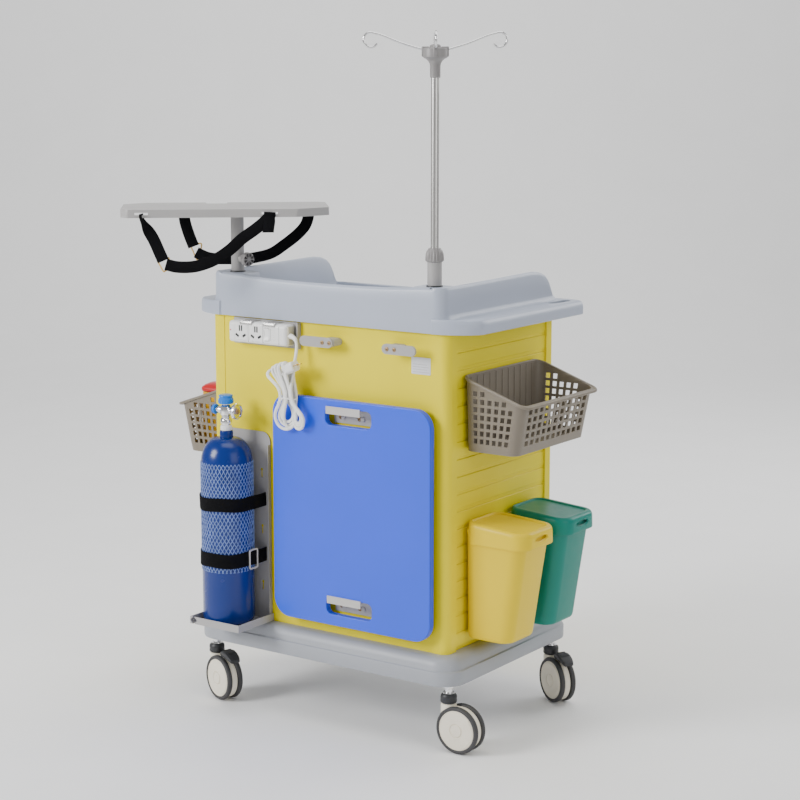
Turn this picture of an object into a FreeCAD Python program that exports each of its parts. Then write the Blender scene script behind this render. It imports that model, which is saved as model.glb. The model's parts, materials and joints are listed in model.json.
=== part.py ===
import FreeCAD, Part
import math
import os
import re

import Sketcher

# Wheeled emergency trolley. Millimetres. The origin is on the floor under the middle of the cabinet,
# +Z up. The rear face, which carries the compression board, looks along -Y. The drawers open along +Y.

SIZES = {
    # cabinet
    "body_width": 616, "body_depth": 421, "body_low": 200, "body_high": 865,
    "column_side": 35, "column_round": 18, "panel_thick": 3, "panel_recess": 1.5,
    "slat_pitch": 36.6, "slat_gap": 1.2, "slat_thick": 3, "slat_recess": 4,
    # base
    "base_length": 684, "base_depth": 490, "base_low": 141, "base_corner": 50, "base_shoulder": 22,
    "base_wall": 6, "base_cavity": 43, "rail_wide": 34, "rail_tall": 30,
    # tray
    "tray_lip": 895, "tray_work": 883, "tray_high": 958, "tray_rear": 219, "tray_front": 240,
    "tray_half": 367, "wall_half": 300, "wall_thick": 12, "post_x": 256, "post_y": 182,
    # casters
    "stem_x": 311, "stem_y": 207, "wheel_radius": 50, "caster_trail": 30, "disc_width": 11.5,
    "housing_width": 14.6, "housing_radius": 46, "collar_radius": 16.5, "axle_radius": 5,
    "run_gap": 0.05, "side_gap": 0.2,
    # drawers
    "drawer_gap": 3, "drawer_face": 18, "drawer_half": 255, "drawer_rear": 155, "drawer_wall": 2.5,
    "slide_thick": 6, "slide_tall": 30, "drawer_travel": 300,
    # brake pedals
    "brake_reach": 44, "brake_level": 104.5, "brake_pin": 2.5,
    # compression board
    "board_left": 121, "board_right": 283, "board_low": 226, "board_high": 711, "board_thick": 14,
    "board_front": 237, "board_round": 40, "slot_left": 19, "slot_right": 137, "slot_tall": 37,
    "hook_top": 694, "hook_low": 287,
    # cleats and power strip
    "cleat_level": 830, "cleat_front": 243, "cleat_thick": 5, "cleat_round": 10.5, "cleat_post": 8,
    "strip_left": 236, "strip_front": 242, "strip_low": 812, "strip_long": 157, "strip_deep": 30,
    "strip_tall": 46, "socket_pitch": 42,
    # oxygen
    "bottle_x": 221, "bottle_y": 270.5, "bottle_radius": 56, "bottle_low": 204, "neck_radius": 14.5,
    "neck_high": 625, "net_low": 322, "net_high": 562, "net_thick": 1.4, "strap_thick": 2.4,
    "strap_upper": 456, "strap_lower": 333, "holder_front": 332, "holder_left": 280, "holder_wide": 136,
    "holder_low": 201, "holder_rim": 16, "holder_high": 618, "valve_level": 668, "ring_tall": 12,
    # shelf
    "shelf_low": 1081, "shelf_top": 1098, "shelf_length": 440, "shelf_depth": 215, "shelf_turn": 40.4,
    "webbing_width": 25, "webbing_thick": 3, "knob_turn": -14.2, "knob_radius": 15.5,
    "knob_level": 985, "post_radius": 14, "spigot_radius": 11, "seat_radius": 12.5,
    # drip pole
    "pole_radius": 8.25, "pole_low": 620, "pole_high": 1371, "nut_low": 1006.2, "nut_high": 1034,
    "hook_reach": 127, "hook_level": 1445, "hook_ring": 14.5, "hook_wire": 2.2, "hook_turn": 34.4,
    # baskets and bins
    "basket_deep": 150, "basket_length": 295, "basket_middle": -9.5, "basket_wall": 2.5,
    "basket_drop": 52, "basket_foot": 122, "basket_right_high": 775, "basket_left_high": 695,
    "basket_tall": 155, "bin_length": 136, "bin_deep": 150, "bin_low": 224, "bin_high": 456,
    "bin_wall": 2.5, "lid_high": 474, "bin_near": -160, "bin_far": 7,
    # lead
    "lead_radius": 3.5, "hank_front": 261, "hank_thick": 22,
}

os.makedirs("parts", exist_ok=True)
doc = FreeCAD.newDocument("EmergencyTrolley")
sheet = doc.addObject("Spreadsheet::Sheet", "Sizes")
for row, (alias, value) in enumerate(SIZES.items(), 1):
    sheet.set(f"A{row}", alias)
    sheet.set(f"B{row}", str(value))
    sheet.setAlias(f"B{row}", alias)
doc.recompute()

NODES = {}
UP = FreeCAD.Vector(0, 0, 1)
CORNERS = ((1, 1), (1, -1), (-1, 1), (-1, -1))


# ---------------------------------------------------------------- helpers

def size(alias):
    """The value of one driving dimension, read from the sheet."""
    return float(sheet.get(alias))


def bind(thing, path, text):
    """Binds a property to a formula, in which each driving dimension is named by its alias."""
    linked = re.sub(r"[a-z]+(?:_[a-z]+)+", lambda found: "Sizes." + found.group(0), str(text))
    thing.setExpression(path, linked)


def locate(thing, at, turn=None):
    """Places a thing at three formulas, with an optional (axis, degrees) turn."""
    if turn:
        axis, degrees = turn
        turned = FreeCAD.Rotation(FreeCAD.Vector(*axis), degrees)
        thing.Placement = FreeCAD.Placement(FreeCAD.Vector(), turned)
    for letter, text in zip("xyz", at):
        bind(thing, "Placement.Base." + letter, text)
    return thing


def box(label, low, span, turn=None):
    thing = doc.addObject("Part::Box", label)
    for name, text in zip(("Length", "Width", "Height"), span):
        bind(thing, name, text)
    return locate(thing, low, turn)


def rod(label, at, radius, length, turn=None):
    """A cylinder that starts at a point and runs along +Z, or along the turned Z."""
    thing = doc.addObject("Part::Cylinder", label)
    bind(thing, "Radius", radius)
    bind(thing, "Height", length)
    return locate(thing, at, turn)


def taper(label, at, low, high, tall):
    """A box whose plan changes from low (x0, x1, y0, y1) to high over its height."""
    thing = doc.addObject("Part::Wedge", label)
    names = ("Xmin", "Xmax", "Zmin", "Zmax"), ("X2min", "X2max", "Z2min", "Z2max")
    for keys, (x0, x1, y0, y1) in zip(names, (low, high)):
        for key, text in zip(keys, (x0, x1, f"-1 * ({y1})", f"-1 * ({y0})")):
            bind(thing, key, text)
    bind(thing, "Ymin", 0)
    bind(thing, "Ymax", tall)
    return locate(thing, at, ((1, 0, 0), 90))


def fuse(label, *things):
    joined = doc.addObject("Part::MultiFuse", label)
    joined.Shapes = list(things)
    return joined


def cut(label, base, *tools):
    taken = doc.addObject("Part::Cut", label)
    taken.Base = base
    taken.Tool = tools[0] if len(tools) == 1 else fuse(label + "_tools", *tools)
    return taken


def group(label, *things):
    """Several separate solids kept in one sub-part."""
    together = doc.addObject("Part::Compound", label)
    together.Links = list(things)
    return together


def rounded(label, base, radius, wanted):
    """Fillets the edges of a Part object for which wanted(edge) is true."""
    doc.recompute()
    soft = doc.addObject("Part::Fillet", label)
    soft.Base = base
    soft.Edges = [(number, radius, radius) for number, edge in enumerate(base.Shape.Edges, 1)
                  if wanted(edge)]
    return soft


def upright(edge):
    """True for a straight edge along Z."""
    ends = edge.Vertexes
    if len(ends) != 2 or not isinstance(edge.Curve, Part.Line):
        return False
    return abs((ends[1].Point - ends[0].Point).normalize().dot(UP)) > 0.999


def keep(name, thing, spot=None, turn=0):
    """Names a finished sub-part. An optional spot and turn about Z place it."""
    if spot:
        placed = FreeCAD.Rotation(UP, turn)
        thing.Placement = FreeCAD.Placement(FreeCAD.Vector(*spot), placed)
    thing.Label = name
    NODES[name] = thing
    return thing


def shaped(name, shape):
    """A sub-part made straight from Part's own functions."""
    thing = doc.addObject("Part::Feature", name)
    thing.Shape = shape
    return thing


def new_body(name):
    return doc.addObject("PartDesign::Body", name)


def origin_plane(body, role):
    return next(part for part in body.Origin.OriginFeatures if part.Role == role)


def outline(body, label, role, corners, offset=0):
    """A closed sketch of straight sides. Every corner is held by two formulas."""
    sketch = body.newObject("Sketcher::SketchObject", label)
    sketch.AttachmentSupport = [(origin_plane(body, role), "")]
    sketch.MapMode = "FlatFace"
    bind(sketch, "AttachmentOffset.Base.z", offset)
    count = len(corners)
    for index in range(count):
        here = FreeCAD.Vector(math.cos(index * math.tau / count), math.sin(index * math.tau / count), 0)
        there = FreeCAD.Vector(math.cos((index + 1) * math.tau / count),
                               math.sin((index + 1) * math.tau / count), 0)
        sketch.addGeometry(Part.LineSegment(here, there))
    for index in range(count):
        sketch.addConstraint(Sketcher.Constraint("Coincident", index, 2, (index + 1) % count, 1))
    for index, pair in enumerate(corners):
        for axis, text in zip("XY", pair):
            number = sketch.addConstraint(Sketcher.Constraint("Distance" + axis, -1, 1, index, 1, 1.0))
            sketch.renameConstraint(number, f"{axis.lower()}{index}")
            bind(sketch, f"Constraints.{axis.lower()}{index}", text)
    sketch.Visibility = False
    return sketch


def plan(body, label, x0, x1, y0, y1, offset=0):
    """A rectangle in the XY plane."""
    return outline(body, label, "XY_Plane", ((x0, y0), (x1, y0), (x1, y1), (x0, y1)), offset)


def pad(body, sketch, length, reverse=False):
    grown = body.newObject("PartDesign::Pad", sketch.Label + "_pad")
    grown.Profile = sketch
    bind(grown, "Length", length)
    grown.Reversed = reverse
    doc.recompute()
    return grown


def pocket(body, sketch, length, reverse=False):
    """Cuts a sketch into the body, and makes sure that it removed something."""
    before = body.Shape.Volume
    sunk = body.newObject("PartDesign::Pocket", sketch.Label + "_pocket")
    sunk.Profile = sketch
    bind(sunk, "Length", length)
    sunk.Reversed = reverse
    doc.recompute()
    if body.Shape.Volume > before - 1:
        raise RuntimeError(sketch.Label + " cuts nothing")
    return sunk


def revolve(body, label, corners, offset_axis="XZ_Plane"):
    """Turns a closed outline in the XZ plane a full turn about Z."""
    sketch = outline(body, label, offset_axis, corners)
    turned = body.newObject("PartDesign::Revolution", label + "_turned")
    turned.Profile = sketch
    turned.ReferenceAxis = (sketch, ["V_Axis"])
    turned.Angle = 360
    doc.recompute()
    return turned


def soften(body, radius, wanted, label="softened"):
    """Fillets the edges of a body's tip for which wanted(edge) is true."""
    tip = body.Tip
    names = [f"Edge{number}" for number, edge in enumerate(tip.Shape.Edges, 1) if wanted(edge)]
    soft = body.newObject("PartDesign::Fillet", label)
    soft.Base = (tip, names)
    bind(soft, "Radius", radius)
    doc.recompute()
    return soft


def level(edge, height, slack=0.1):
    """True where the whole edge lies at one height."""
    return abs(edge.BoundBox.ZMin - height) < slack and abs(edge.BoundBox.ZMax - height) < slack


# ---------------------------------------------------------------- structure

def base_deck():
    body = new_body("base_deck_body")
    half_x, half_y = "base_length / 2", "base_depth / 2"
    rim = plan(body, "deck_rim", f"-{half_x}", half_x, f"-{half_y}", half_y, "base_low")
    pad(body, rim, "body_low - base_low")
    soften(body, "base_corner", upright, "deck_corners")
    soften(body, "base_shoulder", lambda edge: level(edge, size("body_low")), "deck_shoulder")
    far_x, far_y = f"{half_x} - base_wall", f"{half_y} - base_wall"
    cut_x, cut_y = f"{far_x} - 28", f"{far_y} - 28"
    inside = ((cut_x, far_y), (far_x, cut_y), (far_x, f"-({cut_y})"), (cut_x, f"-({far_y})"),
              (f"-({cut_x})", f"-({far_y})"), (f"-({far_x})", f"-({cut_y})"), (f"-({far_x})", cut_y),
              (f"-({cut_x})", far_y))
    pocket(body, outline(body, "deck_hollow", "XY_Plane", inside, "base_low"), "base_cavity", True)
    keep("base_deck", body)


def chassis_frame():
    low, tall = "base_low + base_cavity - rail_tall", "rail_tall"
    blank = box("chassis_blank", ("-stem_x - 14", "-stem_y - 14", low),
                ("2 * stem_x + 28", "2 * stem_y + 28", tall))
    inside = box("chassis_inside", ("rail_wide - stem_x - 14", "rail_wide - stem_y - 14", f"{low} - 1"),
                 ("2 * stem_x + 28 - 2 * rail_wide", "2 * stem_y + 28 - 2 * rail_wide", "rail_tall + 2"))
    bores = [rod(f"stem_bore_{i}", (f"{sx} * stem_x", f"{sy} * stem_y", f"{low} - 1"), 6, "rail_tall + 2")
             for i, (sx, sy) in enumerate(CORNERS)]
    brace = box("chassis_brace", ("-rail_wide / 2", "rail_wide - stem_y - 14", low),
                ("rail_wide", "2 * stem_y + 28 - 2 * rail_wide", tall))
    ring = fuse("chassis_ring", cut("chassis_open", blank, inside), brace)
    keep("chassis_frame", cut("chassis", ring, *bores))


def corner_columns():
    columns = []
    for i, (sx, sy) in enumerate(CORNERS):
        x = "body_width / 2 - column_side" if sx > 0 else "-body_width / 2"
        y = "body_depth / 2 - column_side" if sy > 0 else "-body_depth / 2"
        post = box(f"column_post_{i}", (x, y, "body_low"),
                   ("column_side", "column_side", "body_high - body_low"))
        far_x, far_y = sx * size("body_width") / 2, sy * size("body_depth") / 2

        def outer(edge):
            place = edge.CenterOfMass
            return upright(edge) and abs(place.x - far_x) < 1 and abs(place.y - far_y) < 1

        columns.append(rounded(f"column_{i}", post, size("column_round"), outer))
    keep("corner_columns", group("columns", *columns))


def rear_panel():
    inner = "body_width / 2 - column_side"
    sheet_metal = box("rear_sheet", (f"-({inner})", "-body_depth / 2 + panel_recess", "body_low"),
                      (f"2 * ({inner})", "panel_thick", "body_high - body_low"))
    keep("rear_panel", sheet_metal)


def side_slats(name, side):
    """A side wall of lapped horizontal slats on one backing sheet."""
    reach = "body_depth / 2 - column_side"
    face = "body_width / 2 - slat_recess"
    thick = "slat_thick"
    x = f"{face} - 2 * {thick}" if side > 0 else f"-({face} - {thick})"
    back = box(name + "_backing", (x, f"-({reach})", "body_low"),
               (thick, f"2 * ({reach})", "body_high - body_low"))
    slats = [back]
    x = f"{face} - {thick}" if side > 0 else f"-({face})"
    for row in range(18):
        low = f"body_low + {row} * slat_pitch + slat_gap"
        slats.append(box(f"{name}_{row}", (x, f"-({reach})", low),
                         (thick, f"2 * ({reach})", "slat_pitch - slat_gap")))
    keep(name, fuse(name + "_joined", *slats))


def top_tray():
    body = new_body("top_tray_body")
    lip, rear, front = "tray_half", "-tray_rear", "tray_front"
    corners = (("-wall_half - 10", rear), ("wall_half + 10", rear), ("wall_half + 30", "32 - tray_rear"),
               (lip, "46 - tray_rear"), (lip, front), (f"-{lip}", front), (f"-{lip}", "46 - tray_rear"),
               ("-wall_half - 30", "32 - tray_rear"))
    pad(body, outline(body, "tray_plan", "XY_Plane", corners, "body_high"), "tray_lip - body_high")
    soften(body, 22, upright, "tray_corners")
    soften(body, 9, lambda edge: level(edge, size("tray_lip")), "tray_rim")
    well = plan(body, "tray_well", "wall_thick - wall_half", "wall_half - wall_thick",
                "wall_thick - tray_rear", "tray_front - 18", "tray_work")
    pocket(body, well, "tray_high", True)
    for side in (-1, 1):
        near, far = ("320", "345") if side > 0 else ("-345", "-320")
        slot = plan(body, f"hand_slot_{side + 1}", near, far, 150, 226, "body_high - 1")
        pocket(body, slot, "tray_high", True)
    parts = [body]
    tall = "tray_high - tray_lip + 12"
    foot = "tray_lip - 12"
    far_x, rear_y = size("wall_half"), size("tray_rear")

    def rear_corner(edge):
        place = edge.CenterOfMass
        return upright(edge) and abs(abs(place.x) - far_x) < 0.5 and abs(place.y + rear_y) < 0.5

    def front_top(edge):
        return level(edge, size("tray_high")) and edge.BoundBox.YMin > 200

    back = box("tray_back_wall", ("-wall_half", "-tray_rear", foot),
               ("2 * wall_half", "wall_thick", f"{tall} - 9"))
    parts.append(rounded("tray_back_round", back, 9, rear_corner))
    for side in (-1, 1):
        x = "wall_half - wall_thick" if side > 0 else "-wall_half"
        wall = box(f"tray_wall_{side + 1}", (x, "-tray_rear", foot),
                   ("wall_thick", "tray_rear + 205", tall))
        eased = rounded(f"tray_side_{side + 1}", wall, 9, rear_corner)
        parts.append(rounded(f"tray_side_end_{side + 1}", eased, 52, front_top))
        x = "post_x - 34" if side > 0 else "-wall_half"
        block = box(f"tray_block_{side + 1}", (x, "-tray_rear", foot),
                    ("wall_half - post_x + 34", 74, tall))
        parts.append(rounded(f"tray_block_round_{side + 1}", block, 9, rear_corner))
    whole = fuse("tray_joined", *parts)
    bores = [rod(f"tray_bore_{sx + 1}", (f"{sx} * post_x", "-post_y", "body_high - 1"), "seat_radius", 100)
             for sx in (-1, 1)]
    keep("top_tray", cut("tray_bored", whole, *bores))


def drawer_rows():
    """(number, low edge, height) of each drawer front, from the top."""
    rows = []
    top = size("body_high") - 38
    for number, tall in enumerate((92, 92, 92, 146, 190), 1):
        rows.append((number, top - tall, tall))
        top -= tall + size("drawer_gap")
    return rows


def drawer_runners():
    """An inner liner plate on each side, with one fixed runner for each drawer."""
    sides = []
    for side in (-1, 1):
        x = "body_width / 2 - column_side" if side > 0 else "-(body_width / 2 - column_side) - 2"
        reach = "body_depth / 2 - column_side"
        pieces = [box(f"liner_{side + 1}", (x, f"-({reach})", "body_low"),
                      (2, f"2 * ({reach})", "body_high - body_low"))]
        for number, low, tall in drawer_rows():
            x = "drawer_half + slide_thick + side_gap" if side > 0 else "-(body_width / 2 - column_side)"
            wide = "body_width / 2 - column_side - drawer_half - slide_thick - side_gap"
            pieces.append(box(f"runner_{number}_{side + 1}", (x, "-150", f"{low} + 26"),
                              (wide, "150 + 175", "slide_tall")))
        sides.append(fuse(f"liner_and_runners_{side + 1}", *pieces))
    keep("drawer_runners", group("both_runners", *sides))


def front_rail():
    inner = "body_width / 2 - column_side"
    bar = box("rail_bar", (f"-({inner})", "body_depth / 2 - 22", "body_high - 35"),
              (f"2 * ({inner})", "drawer_face", 35))
    hole = rod("lock_hole", (0, "body_depth / 2 + 1", "body_high - 18"), 9, 30, ((1, 0, 0), 90))
    keep("front_rail", cut("rail_with_hole", bar, hole))
    barrel = rod("lock_body", (0, "body_depth / 2", "body_high - 18"), "9 - run_gap", 26, ((1, 0, 0), 90))
    key_slot = box("key_slot", (-1, "body_depth / 2 - 8", "body_high - 22"), (2, 10, 8))
    cam = box("lock_cam", (-5, "body_depth / 2 - 29", "body_high - 40"), (10, 3, 30))
    keep("lock_barrel", fuse("lock_all", cut("lock_slotted", barrel, key_slot), cam))


def drawer(number, low, tall):
    """A drawer front, its open steel box and the two sliding members, as four solids."""
    face_y = "body_depth / 2 - drawer_face - 4"
    half = "body_width / 2 - column_side - 2"
    front = box(f"front_{number}", (f"-({half})", face_y, low), (f"2 * ({half})", "drawer_face", tall))
    grip = box(f"grip_{number}", (-70, f"{face_y} + 6", f"{low} + {tall} - 34"), (140, "drawer_face", 24))
    rear, length = "-drawer_rear", f"drawer_rear + {face_y}"
    foot, high = f"{low} + 10", f"{tall} - 24"
    wall = "drawer_wall"
    outer = box(f"tub_{number}", ("-drawer_half", rear, foot), ("2 * drawer_half", length, high))
    inner = box(f"tub_inside_{number}", (f"{wall} - drawer_half", f"{rear} + {wall}", f"{foot} + {wall}"),
                (f"2 * (drawer_half - {wall})", f"{length} - 2 * {wall}", high))
    slides = [box(f"slide_{number}_{side + 1}",
                  ("drawer_half" if side > 0 else "-drawer_half - slide_thick", "-148", f"{low} + 26"),
                  ("slide_thick", "148 + 180", "slide_tall - 2")) for side in (-1, 1)]
    keep(f"drawer_{number}", group(f"drawer_all_{number}", cut(f"front_grip_{number}", front, grip),
                                   cut(f"tub_open_{number}", outer, inner), *slides))


# ---------------------------------------------------------------- casters

CASTERS = {"rr": (1, -1, 0), "rl": (-1, -1, -19), "fr": (1, 1, -29), "fl": (-1, 1, -24)}
BRAKED = ("rl", "fr")


def caster_stems():
    stems = []
    for i, (sx, sy) in enumerate(CORNERS):
        place = (f"{sx} * stem_x", f"{sy} * stem_y")
        shank = rod(f"shank_{i}", (*place, 121), 8, "base_low + base_cavity - rail_tall - 121")
        bolt = rod(f"bolt_{i}", (*place, 130), 6, "base_low + base_cavity - 130")
        collar = rod(f"collar_{i}", (*place, 101.2), "collar_radius", 20)
        pin = rod(f"swivel_pin_{i}", (*place, 90), "axle_radius", 12)
        stems.append(fuse(f"stem_{i}", shank, bolt, collar, pin))
    keep("caster_stems", group("stems", *stems))


def caster(tag):
    """The swivelling housing and its pair of wheels, made at the stem and turned into place."""
    sx, sy, turn = CASTERS[tag]
    spot = sx * size("stem_x"), sy * size("stem_y"), 0
    across = ((1, 0, 0), 90)
    trail, centre = "caster_trail", "wheel_radius"
    barrel = rod("barrel_" + tag, (0, 0, 58), "collar_radius", 43)
    drum = rod("drum_" + tag, (trail, "housing_width / 2", centre), "housing_radius", "housing_width",
               across)
    made = [barrel, drum]
    if tag in BRAKED:
        made.append(box("lug_" + tag, (34, "-housing_width / 2", 80), (18, "housing_width", 28)))
    solid = fuse("housing_" + tag, *made)
    gone = [rod(f"wheel_room_{tag}_{side + 1}",
                (trail, "housing_width / 2 + 30" if side > 0 else "-housing_width / 2", centre),
                "wheel_radius + 1.5", 30, across) for side in (-1, 1)]
    gone.append(rod("axle_bore_" + tag, (trail, 20, centre), "axle_radius", 40, across))
    gone.append(rod("pin_bore_" + tag, (0, 0, 89.5), "axle_radius + run_gap", 12))
    if tag in BRAKED:
        gone.append(rod("brake_bore_" + tag, ("brake_reach", 20, "brake_level"), "brake_pin", 40, across))
    keep("caster_fork_" + tag, cut("fork_" + tag, solid, *gone), spot, turn)

    inner = "housing_width / 2 + side_gap"
    hubs, tyres = [], []
    for side in (-1, 1):
        y = f"{inner} + disc_width" if side > 0 else f"-({inner})"
        hubs.append(rod(f"hub_{tag}_{side + 1}", (trail, y, centre), "wheel_radius - 8", "disc_width",
                        across))
        tread = rod(f"tread_{tag}_{side + 1}", (trail, y, centre), "wheel_radius", "disc_width", across)
        middle = rod(f"tread_hole_{tag}_{side + 1}", (trail, f"{y} + 1", centre), "wheel_radius - 8",
                     "disc_width + 2", across)
        tyres.append(cut(f"tyre_{tag}_{side + 1}", tread, middle))
    axle = rod("axle_" + tag, (trail, f"{inner} + 1", centre), "axle_radius - run_gap",
               f"2 * ({inner}) + 2", across)
    pair = group("wheels_" + tag, fuse("hubs_" + tag, *hubs, axle), *tyres)
    keep("caster_wheels_" + tag, pair, spot, turn)

    if tag in BRAKED:
        pin = rod("brake_pin_" + tag, ("brake_reach", 14, "brake_level"), "brake_pin - run_gap", 28, across)
        cheeks = [box(f"brake_cheek_{tag}_{side + 1}", ("brake_reach - 6", 8 if side > 0 else -14, 101),
                      (14, 6, 12))
                  for side in (-1, 1)]
        plate = box("brake_plate_" + tag, ("brake_reach - 6", -15, 111), (44, 30, 5))
        keep("brake_pedal_" + tag, fuse("brake_" + tag, pin, *cheeks, plate), spot, turn)


# ---------------------------------------------------------------- rear face

def cpr_board():
    body = new_body("cpr_board_body")
    y = "board_front"
    face = outline(body, "board_outline", "XZ_Plane",
                   (("-board_left", "board_low"), ("board_right", "board_low"),
                    ("board_right", "board_high"), ("-board_left", "board_high")), f"{y} - board_thick")
    pad(body, face, "board_thick")

    def across(edge):
        ends = edge.Vertexes
        return len(ends) == 2 and abs(ends[0].Y - ends[1].Y) > 5

    soften(body, "board_round", across, "board_corners")
    for name, top in (("upper", "hook_top + 0.2"), ("lower", "hook_low + 0.2")):
        foot = f"{top} - slot_tall"
        corners = ("slot_left", foot), ("slot_right", foot), ("slot_right", top), ("slot_left", top)
        slot = outline(body, name + "_slot", "XZ_Plane", corners, f"{y} + 1")
        pocket(body, slot, "board_thick + 2")

    def slot_corner(edge):
        inside = size("slot_left") - 1 < edge.CenterOfMass.x < size("slot_right") + 1
        return across(edge) and inside and isinstance(edge.Curve, Part.Line)

    soften(body, 13, slot_corner, "slot_corners")
    soften(body, 2, lambda edge: abs(edge.BoundBox.YMax + size("board_front")) < 0.1
           and edge.BoundBox.YLength < 0.1, "board_front_edge")
    keep("cpr_board", body)


def cpr_brackets():
    hooks = []
    for name, top in (("upper", "hook_top"), ("lower", "hook_low")):
        rear = "-body_depth / 2 + panel_recess"
        back = box(name + "_hook_plate", ("slot_left + 6", f"{rear} - 3", f"{top} - 35"), (98, 3, 35))
        arm = box(name + "_hook_arm", ("slot_left + 15", "-board_front - 3.3", f"{top} - 3"),
                  (74, "board_front + 3.3 - body_depth / 2", 3))
        lip = box(name + "_hook_lip", ("slot_left + 4", "-board_front - 3.3", f"{top} - 13"), (87, 3, 16))
        screws = [rod(f"{name}_hook_screw_{x}", (f"slot_left + {x}", f"{rear} - 3", f"{top} - 22"), 5, 2.5,
                      ((1, 0, 0), 90)) for x in (30, 80)]
        hooks.append(fuse(name + "_hook", back, arm, lip, *screws))
    keep("cpr_brackets", group("hooks", *hooks))


def pill(label, left, right, middle, front, thick, radius):
    """A flat plate with round ends, standing in the XZ plane with its front face at Y = front."""
    ends = [rod(f"{label}_end_{x}", (x, f"{front} + {thick}", middle), radius, thick, ((1, 0, 0), 90))
            for x in (left + radius, right - radius)]
    web = box(label + "_web", (left + radius, front, middle - radius),
              (right - left - 2 * radius, thick, 2 * radius))
    return ends + [web]


def cord_cleats():
    cleats = []
    level, front, thick = size("cleat_level"), size("cleat_front"), size("cleat_thick")
    for name, left, right, post_left in (("left", -42, 42, 8), ("right", 168, 250, 172)):
        plate = pill(name + "_cleat", left, right, level, -front, thick, size("cleat_round"))
        deep = front - thick - size("body_depth") / 2 + size("panel_recess")
        post = pill(name + "_post", post_left, post_left + 36, level, thick - front, deep, size("cleat_post"))
        screws = [rod(f"{name}_cleat_screw_{i}", (post_left + 9 + 18 * i, -front, level), 3.5, 1.5,
                      ((1, 0, 0), 90)) for i in (0, 1)]
        cleats.append(fuse(name + "_cleat_all", *plate, *post, *screws))
    keep("cord_cleats", group("cleats", *cleats))


def power_strip():
    left, front, low = "-strip_left", "-strip_front - 1", "strip_low"
    shell = box("strip_shell", (left, "-strip_front", low), ("strip_long", "strip_deep", "strip_tall"))
    soft = rounded("strip_rounded", shell, 4, lambda edge: edge.BoundBox.YLength > 10 or
                   (edge.BoundBox.YMax < 1 - size("strip_front") and edge.BoundBox.YLength < 0.1))
    holes = [box("switch_well", (f"{left} + 96", front, f"{low} + 6"), (15, 9, 34))]
    for i in (0, 1):
        x = f"{left} + 31 + {i} * socket_pitch"
        holes.append(box(f"earth_hole_{i}", (f"{x} - 2.5", front, f"{low} + 26"), (5, 14, 9)))
        for side in (-1, 1):
            holes.append(box(f"pin_hole_{i}_{side + 1}", (f"{x} + {9 * side - 4}", front, f"{low} + 11"),
                             (8, 14, 4)))
    keep("power_strip", cut("strip_open", soft, *holes))
    rocker = box("rocker_block", (f"{left} + 96.5", "-strip_front - 2.5", f"{low} + 9"), (14, 6, 28))
    keep("power_switch", rounded("rocker", rocker, 1.5, lambda edge: edge.BoundBox.XLength > 10))

    rear = "strip_deep - strip_front"
    back = box("holder_plate", (f"{left} - 8", rear, f"{low} - 6"), ("strip_long + 23", 3, "strip_tall + 10"))
    flange = box("holder_flange", (f"{left} + strip_long + 12", f"{rear} - 9", f"{low} - 6"),
                 (3, 10, "strip_tall + 10"))
    clips = []
    for i, shift in enumerate((33, 95)):
        clips.append(box(f"holder_clip_{i}", (f"{left} + {shift}", f"{rear} - 28", f"{low} + strip_tall"),
                         (32, 28, 1.5)))
    keep("power_bracket", fuse("holder", back, flange, *clips))


CORD_ROUTE = ((-79, -231, 835), (-67, -231.5, 834), (-58.5, -232.5, 826), (-55.5, -235, 811),
              (-56, -239, 791), (-58.5, -242.5, 771.5), (-59, -243, 754))


def tube_along(points, radius):
    """Straight runs joined by tangent arcs, swept with a round section. Prints each arc's radius."""
    spots = [FreeCAD.Vector(*spot) for spot in points]
    edges, radii = [], []
    last = spots[0]
    for before, corner, after in zip(spots, spots[1:], spots[2:]):
        inward, outward = corner - before, after - corner
        half_turn = inward.getAngle(outward) / 2
        trim = 0.45 * min(inward.Length, outward.Length)
        radii.append(round(trim / math.tan(half_turn), 1))
        inward.normalize()
        outward.normalize()
        start, end = corner - inward * trim, corner + outward * trim
        bisector = (outward - inward).normalize()
        apex = radii[-1] / math.cos(half_turn) - radii[-1]
        edges.append(Part.LineSegment(last, start).toShape())
        edges.append(Part.Arc(start, corner + bisector * apex, end).toShape())
        last = end
    edges.append(Part.LineSegment(last, spots[-1]).toShape())
    path = Part.Wire(edges)
    ring = Part.Wire([Part.makeCircle(radius, spots[0], spots[1] - spots[0])])
    tube = path.makePipeShell([ring], True, False)
    expected = math.pi * radius ** 2 * path.Length
    print("tube radii", radii, "length", round(path.Length, 1), "volume ratio",
          round(tube.Volume / expected, 4))
    return tube


def power_cord():
    keep("power_cord", shaped("cord_tube", tube_along(CORD_ROUTE, size("lead_radius"))))
    body = new_body("hank_body")
    corners = ((-128, 762), (-112, 777), (-80, 779), (-78, 754), (-50, 754), (-48, 722), (-22, 690),
               (-22, 655), (-40, 635), (-90, 635), (-110, 655), (-110, 680), (-96, 708))
    pad(body, outline(body, "hank_outline", "XZ_Plane", corners, "hank_front - hank_thick"), "hank_thick")
    keep("power_cord_hank", body)
    grip = box("plug_block", (-72, -270, 757), (33, 22, 27))
    soft = rounded("plug_soft", grip, 4, lambda edge: edge.BoundBox.YLength > 10)
    pins = [box(f"plug_pin_{i}", (-39, -261, 766 + 12 * i), (11, 2, 5)) for i in (0, 1)]
    foot = box("plug_foot", (-72, "-hank_front", 754), (12, 12, 4))
    keep("power_plug", fuse("plug", soft, foot, *pins))


# ---------------------------------------------------------------- oxygen

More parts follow.
